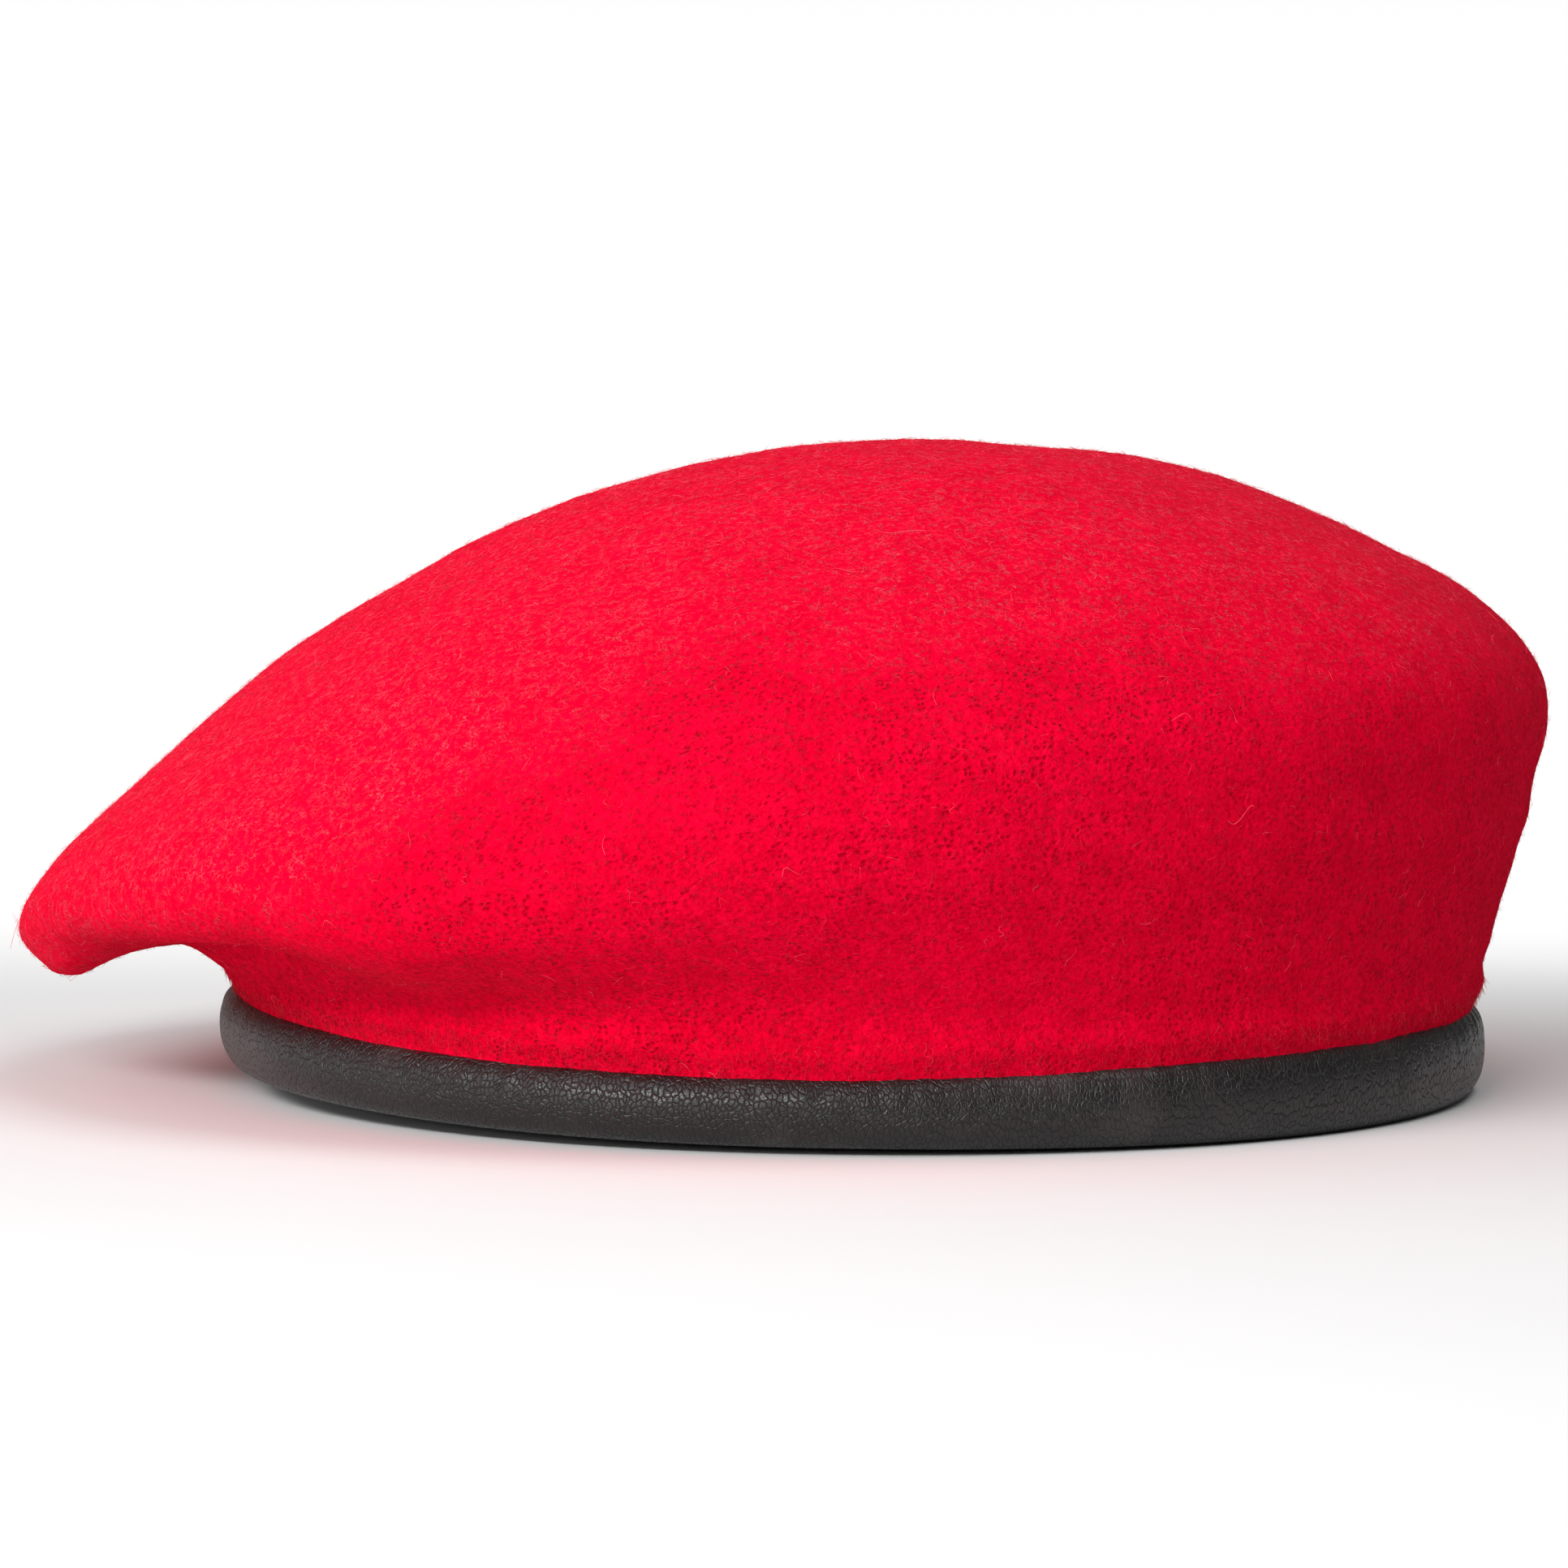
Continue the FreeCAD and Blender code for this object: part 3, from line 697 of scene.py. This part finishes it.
def felt_surface():
    """The felt's outer face as a grid of points, row by row, with the turn and climb of each."""
    turn, climb = np.meshgrid(even_turns(FELT_COLUMNS) - math.pi / 2, felt_rows())
    points = form(turn, climb)
    out = form_normal(turn, climb)
    signed_turn = np.mod(turn + math.pi, FULL_TURN) - math.pi
    relief = felt_relief(signed_turn, climb, points)
    return turn, climb, settle(points + out * relief[..., None])


def seat_vents(points, vents):
    """The felt's face pressed flat round each vent, where its flange is rolled down on the cloth."""
    for place in vents.values():
        centre = on_form(*place)
        out = form_normal(*place)
        away = points - centre
        above = away @ out
        aside = np.linalg.norm(away - above[..., None] * out, axis=-1)
        pressed = (1 - smooth_step(VENT_FLANGE, VENT_EASE, aside)) * (np.abs(above) < 6)
        points = points - (above * pressed)[..., None] * out
    return points


def vent_places():
    """Where each vent sits, from its CAD node: the middle of its box, moved out to the felt's face."""
    places = {}
    for name in ("front_vent", "rear_vent"):
        low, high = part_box(f"{name}_eyelet")
        middle = np.array((low + high) / 2) / MM
        turn, climb = np.meshgrid(np.radians(np.linspace(100, 170, 281)), np.linspace(10, 60, 201))
        gap = np.linalg.norm(form(turn, climb) - middle, axis=-1)
        best = np.unravel_index(np.argmin(gap), gap.shape)
        places[name] = (turn[best], climb[best])
    return places


def make_felt(turn, climb, points, vents):
    """The felt as one closed piece: the face, a top disc, the fold in the leather, and the vents' holes."""
    columns = points.shape[1]
    fold = np.array([turned(radius, height, turn[0]) for radius, height in FELT_FOLD])
    grid = np.concatenate([settle(fold), points])
    faces = grid_faces(len(grid), columns, closed=True)
    u = np.arange(columns + 1) * WALES / columns
    v = np.concatenate([[-6.0, -4.0, -2.0], climb[:, 0]]) / COURSE
    uv = grid_uv(len(grid), columns, True, u, v).reshape(-1, 4, 2)
    middle = grid.reshape(-1, 3)[np.array(faces)].mean(axis=1)
    keep = np.ones(len(faces), bool)
    for place in vents.values():
        keep &= np.linalg.norm(middle - on_form(*place), axis=-1) > VENT_HOLE
    faces = [f for f, kept in zip(faces, keep) if kept] + fan_faces(len(grid), columns)
    top = points[-1].mean(axis=0)[None] + [[0, 0, 0.02]]
    felt = mesh_object("felt_crown", np.concatenate([grid.reshape(-1, 3), top]), faces)
    set_uv(felt, "knit", np.concatenate([uv[keep].reshape(-1, 2), fan_uv(u, v[-1], v[-1] + 1)]))
    return thicken(felt, FELT_THICKNESS)


# ---- loose fibres


class FeltSampler:
    """Picks points on the felt's outer face, with the outward, upward and sideways directions there."""

    def __init__(self, turn, climb, points, vents):
        self.turn, self.climb, self.points = turn, climb, points
        up = np.gradient(points, axis=0)
        around = np.roll(points, -1, axis=1) - np.roll(points, 1, axis=1)
        self.out = unit(np.cross(around, up))
        self.around = unit(around)
        area = np.linalg.norm(np.cross(around / 2, up), axis=-1)
        self.area = area[:-1]
        for place in vents.values():
            clear = np.linalg.norm(points[:-1] - on_form(*place), axis=-1) > VENT_CLEARANCE
            self.area = self.area * clear

    def pick(self, rng, count, weight):
        """Points at random, even over the felt's area apart from the weight."""
        chance = (self.area * weight(self.turn[:-1], self.climb[:-1])).ravel()
        cell = rng.choice(chance.size, count, p=chance / chance.sum())
        i, j = np.divmod(cell, self.points.shape[1])
        k = (j + 1) % self.points.shape[1]
        a, b = rng.random(count)[:, None], rng.random(count)[:, None]
        p = self.points
        base = (p[i, j] * (1 - a) + p[i, k] * a) * (1 - b) + (p[i + 1, j] * (1 - a) + p[i + 1, k] * a) * b
        out, around = self.out[i, j], self.around[i, j]
        return base, out, around, np.cross(out, around)


def grow(rng, roots, length, rise, curl, steps, heading=None):
    """Paths of fibres from their roots: each runs along the felt, curls from side to side and lifts."""
    base, out, around, up = roots
    count = len(base)
    angle = rng.random(count) * FULL_TURN if heading is None else heading
    ahead = around * np.cos(angle)[:, None] + up * np.sin(angle)[:, None]
    aside = np.cross(out, ahead)
    along = np.linspace(0, 1, steps)[None, :, None]
    shape = (count, 1, 1)
    reach = rng.uniform(*length, shape)
    lift = rng.uniform(*rise, shape)
    sway = rng.normal(0, curl, shape) * reach
    waves = rng.uniform(0.5, 1.7, shape)
    phase = rng.random(shape) * FULL_TURN
    side = sway * (np.sin(waves * FULL_TURN * along + phase) - np.sin(phase))
    bob = lift * reach * (along**1.3) + 0.25 * sway * np.sin(waves * 5 * along)
    path = base[:, None] + ahead[:, None] * reach * along * 0.9 + aside[:, None] * side
    return path + out[:, None] * (bob - 0.12)


def crown_height(points):
    """Height, counted higher toward the drape, so that the whole upper face reads as the crown, whose pale
    lint is partly real and partly painted sheen of the lit top and tip.
    """
    return points[..., 2] + CROWN_LEAN * np.clip(-points[..., 0] - CROWN_START, 0, None)


def everywhere(turn, climb):
    return np.ones_like(climb)


def by_the_band(turn, climb):
    return bump(5.5, 2.2, climb)


def on_the_crown(turn, climb):
    return smooth_step(60, 86, crown_height(form(turn, climb)))


# Each kind of fibre: its name, how many pieces, fibres in each, where they grow, their length, lift, curl
# and radius, the sides of their tubes, and how their radius changes along them
FIBRES = (
    ("nap_fibres", 3, 8200, everywhere, (0.7, 1.9), (0.03, 0.40), 0.16, (0.020, 0.034), 3,
     (1.0, 0.95, 0.75, 0.3)),
    ("wool_hairs", 1, 1500, everywhere, (1.4, 3.6), (0.02, 0.22), 0.17, (0.018, 0.028), 3,
     (0.7, 0.95, 1.0, 1.0, 0.95, 0.85, 0.7, 0.35)),
    # Pale lint on the crown and the drape's tip: partly real, partly painted sheen
    ("crown_lint_and_sheen", 3, 5600, on_the_crown, (0.8, 2.3), (0.05, 0.30), 0.24, (0.017, 0.030), 3,
     (0.8, 1.0, 0.95, 0.8, 0.3)),
    ("stray_hairs", 1, 24, everywhere, (5.0, 9.0), (0.01, 0.08), 0.13, (0.026, 0.036), 4, (1.0,) * 26),
    ("band_fringe", 1, 3600, by_the_band, (0.9, 2.4), (0.1, 0.5), 0.12, (0.022, 0.038), 3,
     (1.0, 1.0, 0.9, 0.7, 0.3)),
)


def make_fibres(sampler):
    """Every loose fibre on the felt, in pieces by kind. The fringe is combed down over the leather."""
    rng = np.random.default_rng(7)
    pieces = {}
    for kind, parts, count, where, length, lift, curl, radius, sides, taper in FIBRES:
        for part in range(parts):
            name = f"{kind}_{part + 1}" if parts > 1 else kind
            roots = sampler.pick(rng, count, where)
            combed = kind == "band_fringe"
            heading = -math.pi / 2 + rng.normal(0, 0.5, count) if combed else None
            paths = grow(rng, roots, length, lift, curl, len(taper), heading)
            pieces[name] = tubes(name, paths, rng.uniform(*radius, count), sides, taper)
    return pieces


# ---- leather, tape and stitches


def arc_points(centre, radius, start, end, count):
    """Points (across, up) on an arc, with its angles in degrees."""
    angles = np.radians(np.linspace(start, end, count))
    return [(centre[0] + radius[0] * math.cos(a), centre[1] + radius[1] * math.sin(a)) for a in angles]


def line_points(start, end, count):
    """Points from start up to, not including, end."""
    return [tuple(np.array(start) + (np.array(end) - start) * k / count) for k in range(count)]


def leather_outline():
    """The strip's section as (radius, height): round the roll, under it, up the sweatband and back."""
    outside = arc_points(ROLL_MIDDLE, ROLL_REACH, 80, -84, 30)
    under = line_points((93.3, 0.0), (92.6, 0.0), 2)
    toe = arc_points((92.6, 2.0), (2.0, 2.0), 270, 180, 6)
    wall = line_points((90.6, 3.0), (90.6, 16.0), 8)
    lean = line_points((90.62, 16.8), (91.35, 19.6), 4)
    brim = arc_points((91.9, 19.7), (0.5, 0.45), 170, 10, 5)
    back = line_points((92.4, 19.2), (91.6, 16.4), 3) + line_points((91.6, 16.0), (91.6, 2.6), 6)
    inner_toe = arc_points((92.6, 2.3), (1.0, 1.2), 180, 270, 4)
    inner_roll = arc_points((93.2, 5.5), (2.3, 4.3), -76, 72, 10)
    return np.array(outside + under + toe + wall + lean + brim + back + inner_toe + inner_roll)


def make_leather():
    """The binding as a strip that runs from one side of its join at the back round to the other."""
    outline = leather_outline()
    start, end = math.pi / 2 + JOIN_HALF_TURN, math.pi / 2 + FULL_TURN - JOIN_HALF_TURN
    turn = np.linspace(start, end, LEATHER_COLUMNS)
    count = len(outline)
    radius, height = outline[:, :1], outline[:, 1:]
    points = turned(radius, height, turn)
    # Wrinkles run across the roll, strongest on its shoulder, where the leather was pulled into the seam
    shown = smooth_step(93.2, 95.0, radius) * smooth_step(0.8, 3.0, height) * (height < 11.5)
    shoulder = bump(8.8, 3.0, height)
    folds = rough_noise(points * [1.0, 1.0, 0.40], 2.2, 5, 2) * 0.10 * (0.2 + shoulder)
    sag = rough_noise(points * [1.0, 1.0, 0.5], 17.0, 6, 2) * 0.28
    pull = np.sin(turn[None, :] * 147 + rough_noise(points, 12.0, 8, 2)) * 0.05 * shoulder
    # The roll dips into its join
    seam = np.minimum(turn - turn[0], turn[-1] - turn)[None, :] * ROLL_RADIUS
    swell = (folds + sag + pull) * shown * smooth_step(0.0, 3.0, seam) - 0.34 * bump(0.0, 0.7, seam) * shown
    dents = rough_noise(points, 7.0, 9, 3) * 0.10 + rough_noise(points, 1.6, 10, 2) * 0.02
    out = swell + np.maximum(dents * (height > 3) * (radius < 91.5), 0)
    points[..., 0] += out * np.cos(turn)
    points[..., 1] += out * np.sin(turn)
    points[..., 2] += swell * 0.5 * (height > 6)
    faces = [face[::-1] for face in grid_faces(count, len(turn), looped=True)]
    first_end = [i * len(turn) for i in range(count)]
    other_end = [i + len(turn) - 1 for i in first_end][::-1]
    leather = mesh_object("leather_roll", settle(points), faces + [tuple(first_end), tuple(other_end)])
    uv = grid_uv(count + 1, len(turn), False, turn * ROLL_RADIUS, way_round(outline))
    uv = uv.reshape(-1, 4, 2)[:, ::-1].reshape(-1, 2)
    set_uv(leather, "strip", np.concatenate([uv, np.zeros((2 * count, 2))]))
    return cut_slit(leather)


def cut_slit(leather):
    """Cuts the slit through the sweatband at the back, where the tape's knot is reached."""
    left, right = -SLIT_WIDTH / 2, SLIT_WIDTH / 2
    base = ((left, SLIT_NEAR), (right, SLIT_NEAR), (right, SLIT_FAR), (left, SLIT_FAR))
    corners = [(x, y, z) for z in (SLIT_FOOT, SLIT_FOOT + SLIT_HEIGHT) for x, y in base]
    sides = [(0, 1, 5, 4), (1, 2, 6, 5), (2, 3, 7, 6), (3, 0, 4, 7)]
    cutter = mesh_object("slit_cutter", corners, [(3, 2, 1, 0), (4, 5, 6, 7)] + sides, smooth=False)
    cut = leather.modifiers.new("slit", "BOOLEAN")
    cut.operation = "DIFFERENCE"
    cut.solver = "EXACT"
    cut.object = cutter
    apply_modifiers(leather)
    bpy.data.objects.remove(cutter)
    return leather


def make_tape():
    """The tape's loop, with its soft edges rounded."""
    inner, thickness, foot, width = 91.75, 0.4, 2.2, 6.0
    edge = thickness / 2
    top = foot + width - edge
    outline = line_points((inner, foot + edge), (inner, top), 8)
    outline += arc_points((inner + edge, top), (edge, edge), 180, 0, 6)
    outline += line_points((inner + thickness, top - 0.1), (inner + thickness, foot + edge), 8)
    outline += arc_points((inner + edge, foot + edge), (edge, edge), 0, -180, 6)[:-1]
    outline = np.array(outline)
    segments = 360
    turn = even_turns(segments)
    ripple = 0.02 * np.sin(turn * 31) + 0.02 * np.sin(turn * 53 + 1)
    points = turned(outline[:, :1] + ripple, outline[:, 1:], turn)
    faces = grid_faces(len(outline), segments, closed=True, looped=True)
    tape = mesh_object("adjusting_tape", settle(points), faces)
    u = np.arange(segments + 1) * FULL_TURN * inner / segments
    set_uv(tape, "weave", grid_uv(len(outline) + 1, segments, True, u, way_round(outline)))
    return tape


def make_knot():
    """The overhand knot, pulled flat: a slanting turn of tape over the ends that run out to each side."""
    rows, columns = 44, 72
    across, up = np.meshgrid(np.linspace(4.0, -4.0, columns), np.linspace(2.75, 7.65, rows))
    u, w = across / 4.0, (up - 5.2) / 2.5
    slant = np.abs(u + 0.22 * w)
    turn = (0.86 - 0.34 * (slant / 0.42) ** 2) * (1 - smooth_step(0.40, 0.50, slant))
    ends = 0.52 * (1 - np.abs(u) ** 3) + 0.07 * np.sin(w * 10 + u * 4)
    rise = np.maximum(turn, ends) * np.sqrt(np.clip(1 - 0.9 * w**2, 0, 1))
    points = np.stack([across, SLIT_FAR - rise, up], axis=-1)
    knot = mesh_object("tape_knot", points, grid_faces(rows, columns))
    set_uv(knot, "weave", grid_uv(rows, columns, False, np.linspace(0, 8, columns + 1), up[:, 0]))
    return thicken(knot, CLOTH_THICKNESS)


def sew(name, paths, radius=THREAD_RADIUS):
    """Stitches of twisted thread along their paths."""
    return tubes(name, paths, radius, 8, ply=0.14, twist=2.0)


def stitch_paths(points, out):
    """Each stitch of a closed row: it rises out of the cloth, runs along the row and dips back in."""
    along = unit(np.roll(points, -1, axis=0) - np.roll(points, 1, axis=0))
    share = np.linspace(-0.5, 0.5, 9)[:, None]
    arch = -STITCH_SINK * (np.abs(share) * 2) ** 4
    return points[:, None] + along[:, None] * (share * STITCH_LENGTH) + out[:, None] * arch


def level_row(name, radius, height):
    """Stitches round a level circle, on the inside of what they are sewn to."""
    count = round(FULL_TURN * radius / STITCH_PITCH)
    turn = math.pi / 2 + (np.arange(count) + 0.5) * FULL_TURN / count
    return sew(name, stitch_paths(settle(turned(radius, height, turn)), turned(-1.0, 0.0, turn)))


def make_join_stitches():
    """Short stitches across the leather's join at the back of the roll."""
    paths = []
    share = np.linspace(-0.5, 0.5, 9)
    dip = 0.25 * (np.abs(share) * 2) ** 4
    for height in (2.0, 4.0, 6.0, 8.0):
        level = (height - ROLL_MIDDLE[1]) / ROLL_REACH[1]
        reach = ROLL_MIDDLE[0] + ROLL_REACH[0] * math.sqrt(1 - level**2) + THREAD_RADIUS * 0.7
        paths.append(np.stack([share * 2.4, reach - dip, height + share * 0.3], axis=-1))
    return sew("join_stitching", settle(np.array(paths)))


# ---- lining, stiffener, label and vents


def lining_relief(turn, climb, points):
    """Ease in the lining: small gathers that run out of its seam and die away."""
    gathers = np.abs(np.sin(turn * 42 + np.sin(turn * 5) * 1.5)) * 0.5 * np.exp(-np.abs(climb - RIM) / 14)
    return gathers + np.maximum(rough_noise(points, 22.0, 11, 2), 0) * 0.9


def make_lining_panel(name, climbs):
    """A panel of the lining between two climbs, closed at the top where it gets there, and its area."""
    turn, climb = np.meshgrid(even_turns(LINING_COLUMNS), climbs)
    points = form(turn, climb)
    inset = np.minimum(LINING_DEPTH + lining_relief(turn, climb, points), LINING_DEEPEST)
    points = settle(points - form_normal(turn, climb) * inset[..., None])
    rows = len(climbs)
    faces = grid_faces(rows, LINING_COLUMNS, closed=True)
    u = np.arange(LINING_COLUMNS + 1) * FULL_TURN * 95 / LINING_COLUMNS
    uv = grid_uv(rows, LINING_COLUMNS, True, u, climbs)
    flat = points.reshape(-1, 3)
    if climbs[-1] > TOP - 2:
        flat = np.concatenate([flat, points[-1].mean(axis=0)[None]])
        faces += fan_faces(rows, LINING_COLUMNS)
        uv = np.concatenate([uv, fan_uv(u, climbs[-1], TOP)])
    panel = mesh_object(name, flat, faces)
    set_uv(panel, "weave", uv)
    area = sum(p.area for p in panel.data.polygons)
    return thicken(panel, CLOTH_THICKNESS), area


def climb_at(turn, height, depth=0.0):
    """The climb at which the felt, at a turn, reaches a height."""
    climbs = np.linspace(0, TOP - 1, 1500)
    heights = on_form(np.full_like(climbs, turn), climbs, np.full_like(climbs, depth))[:, 2]
    return float(climbs[np.argmax(heights >= height)])


def make_stiffener():
    """The plate behind the badge position, with its upper corners rounded."""
    low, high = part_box("badge_stiffener")
    middle = math.atan2((low.y + high.y) / 2, (low.x + high.x) / 2)
    rows, columns, half = 36, 60, 29.0 / 103
    foot, top = climb_at(middle, low.z / MM, 2.2), climb_at(middle, high.z / MM, 2.2)
    share = np.linspace(0, 1, rows)
    turn, part = np.meshgrid(np.linspace(-1, 1, columns), share)
    # The outer columns draw in as they near the top
    corner = 0.42
    over = np.clip((part - (1 - corner)) / corner, 0, 1)
    reach = 1 - 0.44 * (1 - np.sqrt(1 - over**2 * 0.985))
    points = on_form(middle + turn * half * reach, foot + (top - foot) * part, np.full(turn.shape, 2.25))
    made = mesh_object("stiffener_plate", points, grid_faces(rows, columns))
    set_uv(made, "weave", grid_uv(rows, columns, False, np.linspace(0, 58, columns + 1), share * 32))
    return thicken(made, 0.7)


def level_patch(across, heights, depth):
    """Points at the back of the hat, inside the felt, on a grid that is square in X and Z."""
    x, z = np.meshgrid(across, heights)
    turn = math.pi / 2 - x / 100
    climb = climb_at(math.pi / 2, float(np.mean(heights)), float(np.mean(depth))) + z - np.mean(heights)
    for _ in range(12):
        points = on_form(turn, climb, depth)
        turn = turn + (points[..., 0] - x) / 100
        climb = climb + z - points[..., 2]
    return on_form(turn, climb, depth)


def make_label():
    """The blank label inside the back, with a hem at each end, and the stitches that hold it."""
    low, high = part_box("size_label")
    across = np.linspace(17.0, -17.0, 48)
    heights = np.linspace(low.z / MM + 0.6, high.z / MM - 0.6, 22)
    hem = 0.12 * bump(17.0, 1.0, np.abs(across)) * np.ones((22, 1))
    points = level_patch(across, heights, 5.65 + hem)
    label = mesh_object("woven_label", points, grid_faces(22, 48))
    set_uv(label, "weave", grid_uv(22, 48, False, np.append(across, across[-1]), heights))
    stitches = []
    for side in (-15.8, 15.8):
        for height in np.linspace(heights[1], heights[-2], 7):
            share = np.linspace(-0.8, 0.8, 7)
            arch = 6.05 - 0.15 * (np.abs(share) / 0.8) ** 4
            stitches.append(level_patch([side], height + share, arch[:, None])[:, 0])
    return thicken(label, CLOTH_THICKNESS), sew("label_stitching", np.array(stitches), LABEL_THREAD_RADIUS)


def rounded(outline, size):
    """An outline with each corner cut into three points, size mm apart."""
    outline = np.array(outline, float)
    result = []
    for before, corner, after in zip(np.roll(outline, 1, axis=0), outline, np.roll(outline, -1, axis=0)):
        start = corner + unit(before - corner) * size
        end = corner + unit(after - corner) * size
        result += [start, (start + end + 2 * corner) / 4, end]
    return result


def make_vent(name, place):
    """A vent's eyelet and the washer that its lip is rolled over, at their place on the felt."""
    point = on_form(*place)
    out = form_normal(*place)
    back = -FELT_THICKNESS - 0.25
    dome = [(2.45, 0.62), (2.9, 0.72), (3.4, 0.62), (3.9, 0.36), (4.2, 0.08), (4.15, -0.02)]
    lip = [(3.3, back - 0.12), (3.1, back - 0.38), (2.6, back - 0.45), (2.15, back - 0.32), (2.0, back)]
    outline = [(2.05, 0.2), (2.2, 0.45)] + dome + [(2.55, -0.05), (2.5, back)] + lip
    eyelet = lathe(f"{name}_ring", outline, 48)
    washer_outline = rounded([(2.56, back), (4.0, back), (4.0, back + 0.25), (2.56, back + 0.25)], 0.08)
    washer = lathe(f"{name}_backing", washer_outline, 48)
    turn = Vector(out).to_track_quat("Z", "Y").to_matrix().to_4x4()
    for made in (eyelet, washer):
        made.data.transform(Matrix.Translation(Vector(point * MM)) @ turn)
    return eyelet, washer


# ---- putting it together


def dress(piece, material, node=None, body="beret"):
    """Gives a piece its material and the body it rides on, and hides the CAD node it stands for."""
    piece.data.materials.clear()
    piece.data.materials.append(material)
    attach(piece, body)
    if node:
        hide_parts(node)
    return piece


def make_hat():
    """Every piece of the hat."""
    turn, climb, surface = felt_surface()
    vents = vent_places()
    surface = seat_vents(surface, vents)
    dress(make_felt(turn, climb, surface, vents), felt_material(), "felt_shell")
    nap = fibre_material("nap_fibre", (0.72, 0.001, 0.026), (0.90, 0.014, 0.046), 0.02)
    hair = fibre_material("pale_fibre", (0.88, 0.02, 0.055), (0.96, 0.115, 0.175), 0.03)
    for name, piece in make_fibres(FeltSampler(turn, climb, surface, vents)).items():
        dress(piece, hair if "hair" in name or "lint" in name else nap)
    dress(make_leather(), leather_material(), "leather_binding")
    tape_cloth = woven_material("black_tape", 0.6, (0.020, 0.020, 0.021), (0.075, 0.073, 0.072))
    dress(make_tape(), tape_cloth, "draw_tape", "draw_tape")
    dress(make_knot(), tape_cloth, None, "draw_tape")
    thread = thread_material("black_thread", (0.012, 0.011, 0.012), (0.06, 0.055, 0.055))
    dress(level_row("crease_stitching", 92.05, 9.7), thread, "binding_seam_stitches")
    dress(level_row("sweatband_stitching", 90.82, 18.3), thread, "sweatband_stitches")
    dress(make_join_stitches(), thread, "binding_join_stitches")
    satin = woven_material(
        "black_satin", 0.28, (0.010, 0.010, 0.012), (0.032, 0.032, 0.036),
        roughness=0.42, sheen=0.35, depth=0.04,
    )
    foot = climb_at(math.pi, LINING_FOOT, LINING_DEPTH) + 1
    side, side_area = make_lining_panel("lining_side_panel", np.linspace(foot, RIM - 0.01, 26))
    top, top_area = make_lining_panel("lining_crown_panel", np.linspace(RIM + 0.01, TOP - 1.0, 90))
    dress(side, satin, "lining_side")
    dress(top, satin, "lining_top")
    count = round(FULL_TURN * 104 / STITCH_PITCH)
    around = even_turns(count)
    row = on_form(around, np.full(count, RIM), np.full(count, 4.9))
    stitches = stitch_paths(row, -form_normal(around, np.full(count, RIM)))
    dress(sew("lining_stitching", stitches), thread, "lining_seam_stitches")
    buckram = woven_material("buckram", 0.9, (0.42, 0.38, 0.29), (0.74, 0.70, 0.60), 0.8, 0.1, 0.2)
    dress(make_stiffener(), buckram, "badge_stiffener")
    label, label_stitches = make_label()
    label_cloth = woven_material(
        "label_weave", 0.35, (0.55, 0.54, 0.50), (0.82, 0.81, 0.77), roughness=0.6, depth=0.05
    )
    dress(label, label_cloth, "size_label")
    dress(label_stitches, thread)
    lacquer = vent_material()
    for name, place in vents.items():
        eyelet, washer = make_vent(name, place)
        dress(eyelet, lacquer, f"{name}_eyelet")
        dress(washer, lacquer, f"{name}_washer")


def aim(made, place, target, roll=0.0):
    """Puts a light or the camera at a place, turned toward a target."""
    made.location = Vector(place) * MM
    look = (Vector(target) * MM - made.location).to_track_quat("-Z", "Y").to_matrix().to_4x4()
    made.rotation_euler = (look @ Matrix.Rotation(math.radians(roll), 4, "Z")).to_euler()


def make_stage():
    """A pale floor, a wide light and a small low one at the front left, one overhead, and a studio."""
    low, high = -FLOOR_SIZE, FLOOR_SIZE
    corners = [(low, low, 0), (high, low, 0), (high, high, 0), (low, high, 0)]
    floor = mesh_object("floor", corners, [(0, 1, 2, 3)], smooth=False)
    floor.data.materials.append(floor_material())
    for name, (place, size, power) in LIGHTS.items():
        lamp = bpy.data.lights.new(name, "AREA")
        lamp.shape = "RECTANGLE"
        lamp.size = size[0] * MM
        lamp.size_y = size[1] * MM
        lamp.energy = power
        aim(add_object(name, lamp), place, LIGHT_TARGET)
    make_world()


def make_world():
    """White behind the hat, grey on its right, and brighter on its left and overhead."""
    world = bpy.data.worlds.new("studio")
    world.use_nodes = True
    s = Nodes(world.node_tree)
    x, y, z = s.parts(s.tree.nodes.new("ShaderNodeTexCoord").outputs["Generated"])
    level = s.math("SUBTRACT", 1.0, s.step(z, 0.10, 0.45))
    behind = s.times(s.step(y, 0.90, 0.97, (0.0, 1.0 - STUDIO_GREY)), level)
    left = s.step(x, -0.1, -0.9, (0.0, STUDIO_LEFT))
    sides = s.plus(left, s.step(z, 0.2, 0.9, (0.0, STUDIO_ABOVE)))
    background = s.tree.nodes["Background"]
    s.put(background.inputs["Color"], (1, 1, 1))
    s.put(background.inputs["Strength"], s.plus(STUDIO_GREY, s.math("MAXIMUM", behind, sides)))
    bpy.context.scene.world = world


def make_camera():
    """A long lens a little above the band, looking along +Y."""
    camera = bpy.data.cameras.new("camera")
    camera.sensor_width = 36
    camera.lens = CAMERA_LENS
    made = add_object("camera", camera)
    aim(made, CAMERA_PLACE, CAMERA_TARGET, CAMERA_ROLL)
    bpy.context.scene.camera = made


bpy.context.scene.view_settings.view_transform = "Standard"
make_camera()
make_stage()
make_hat()
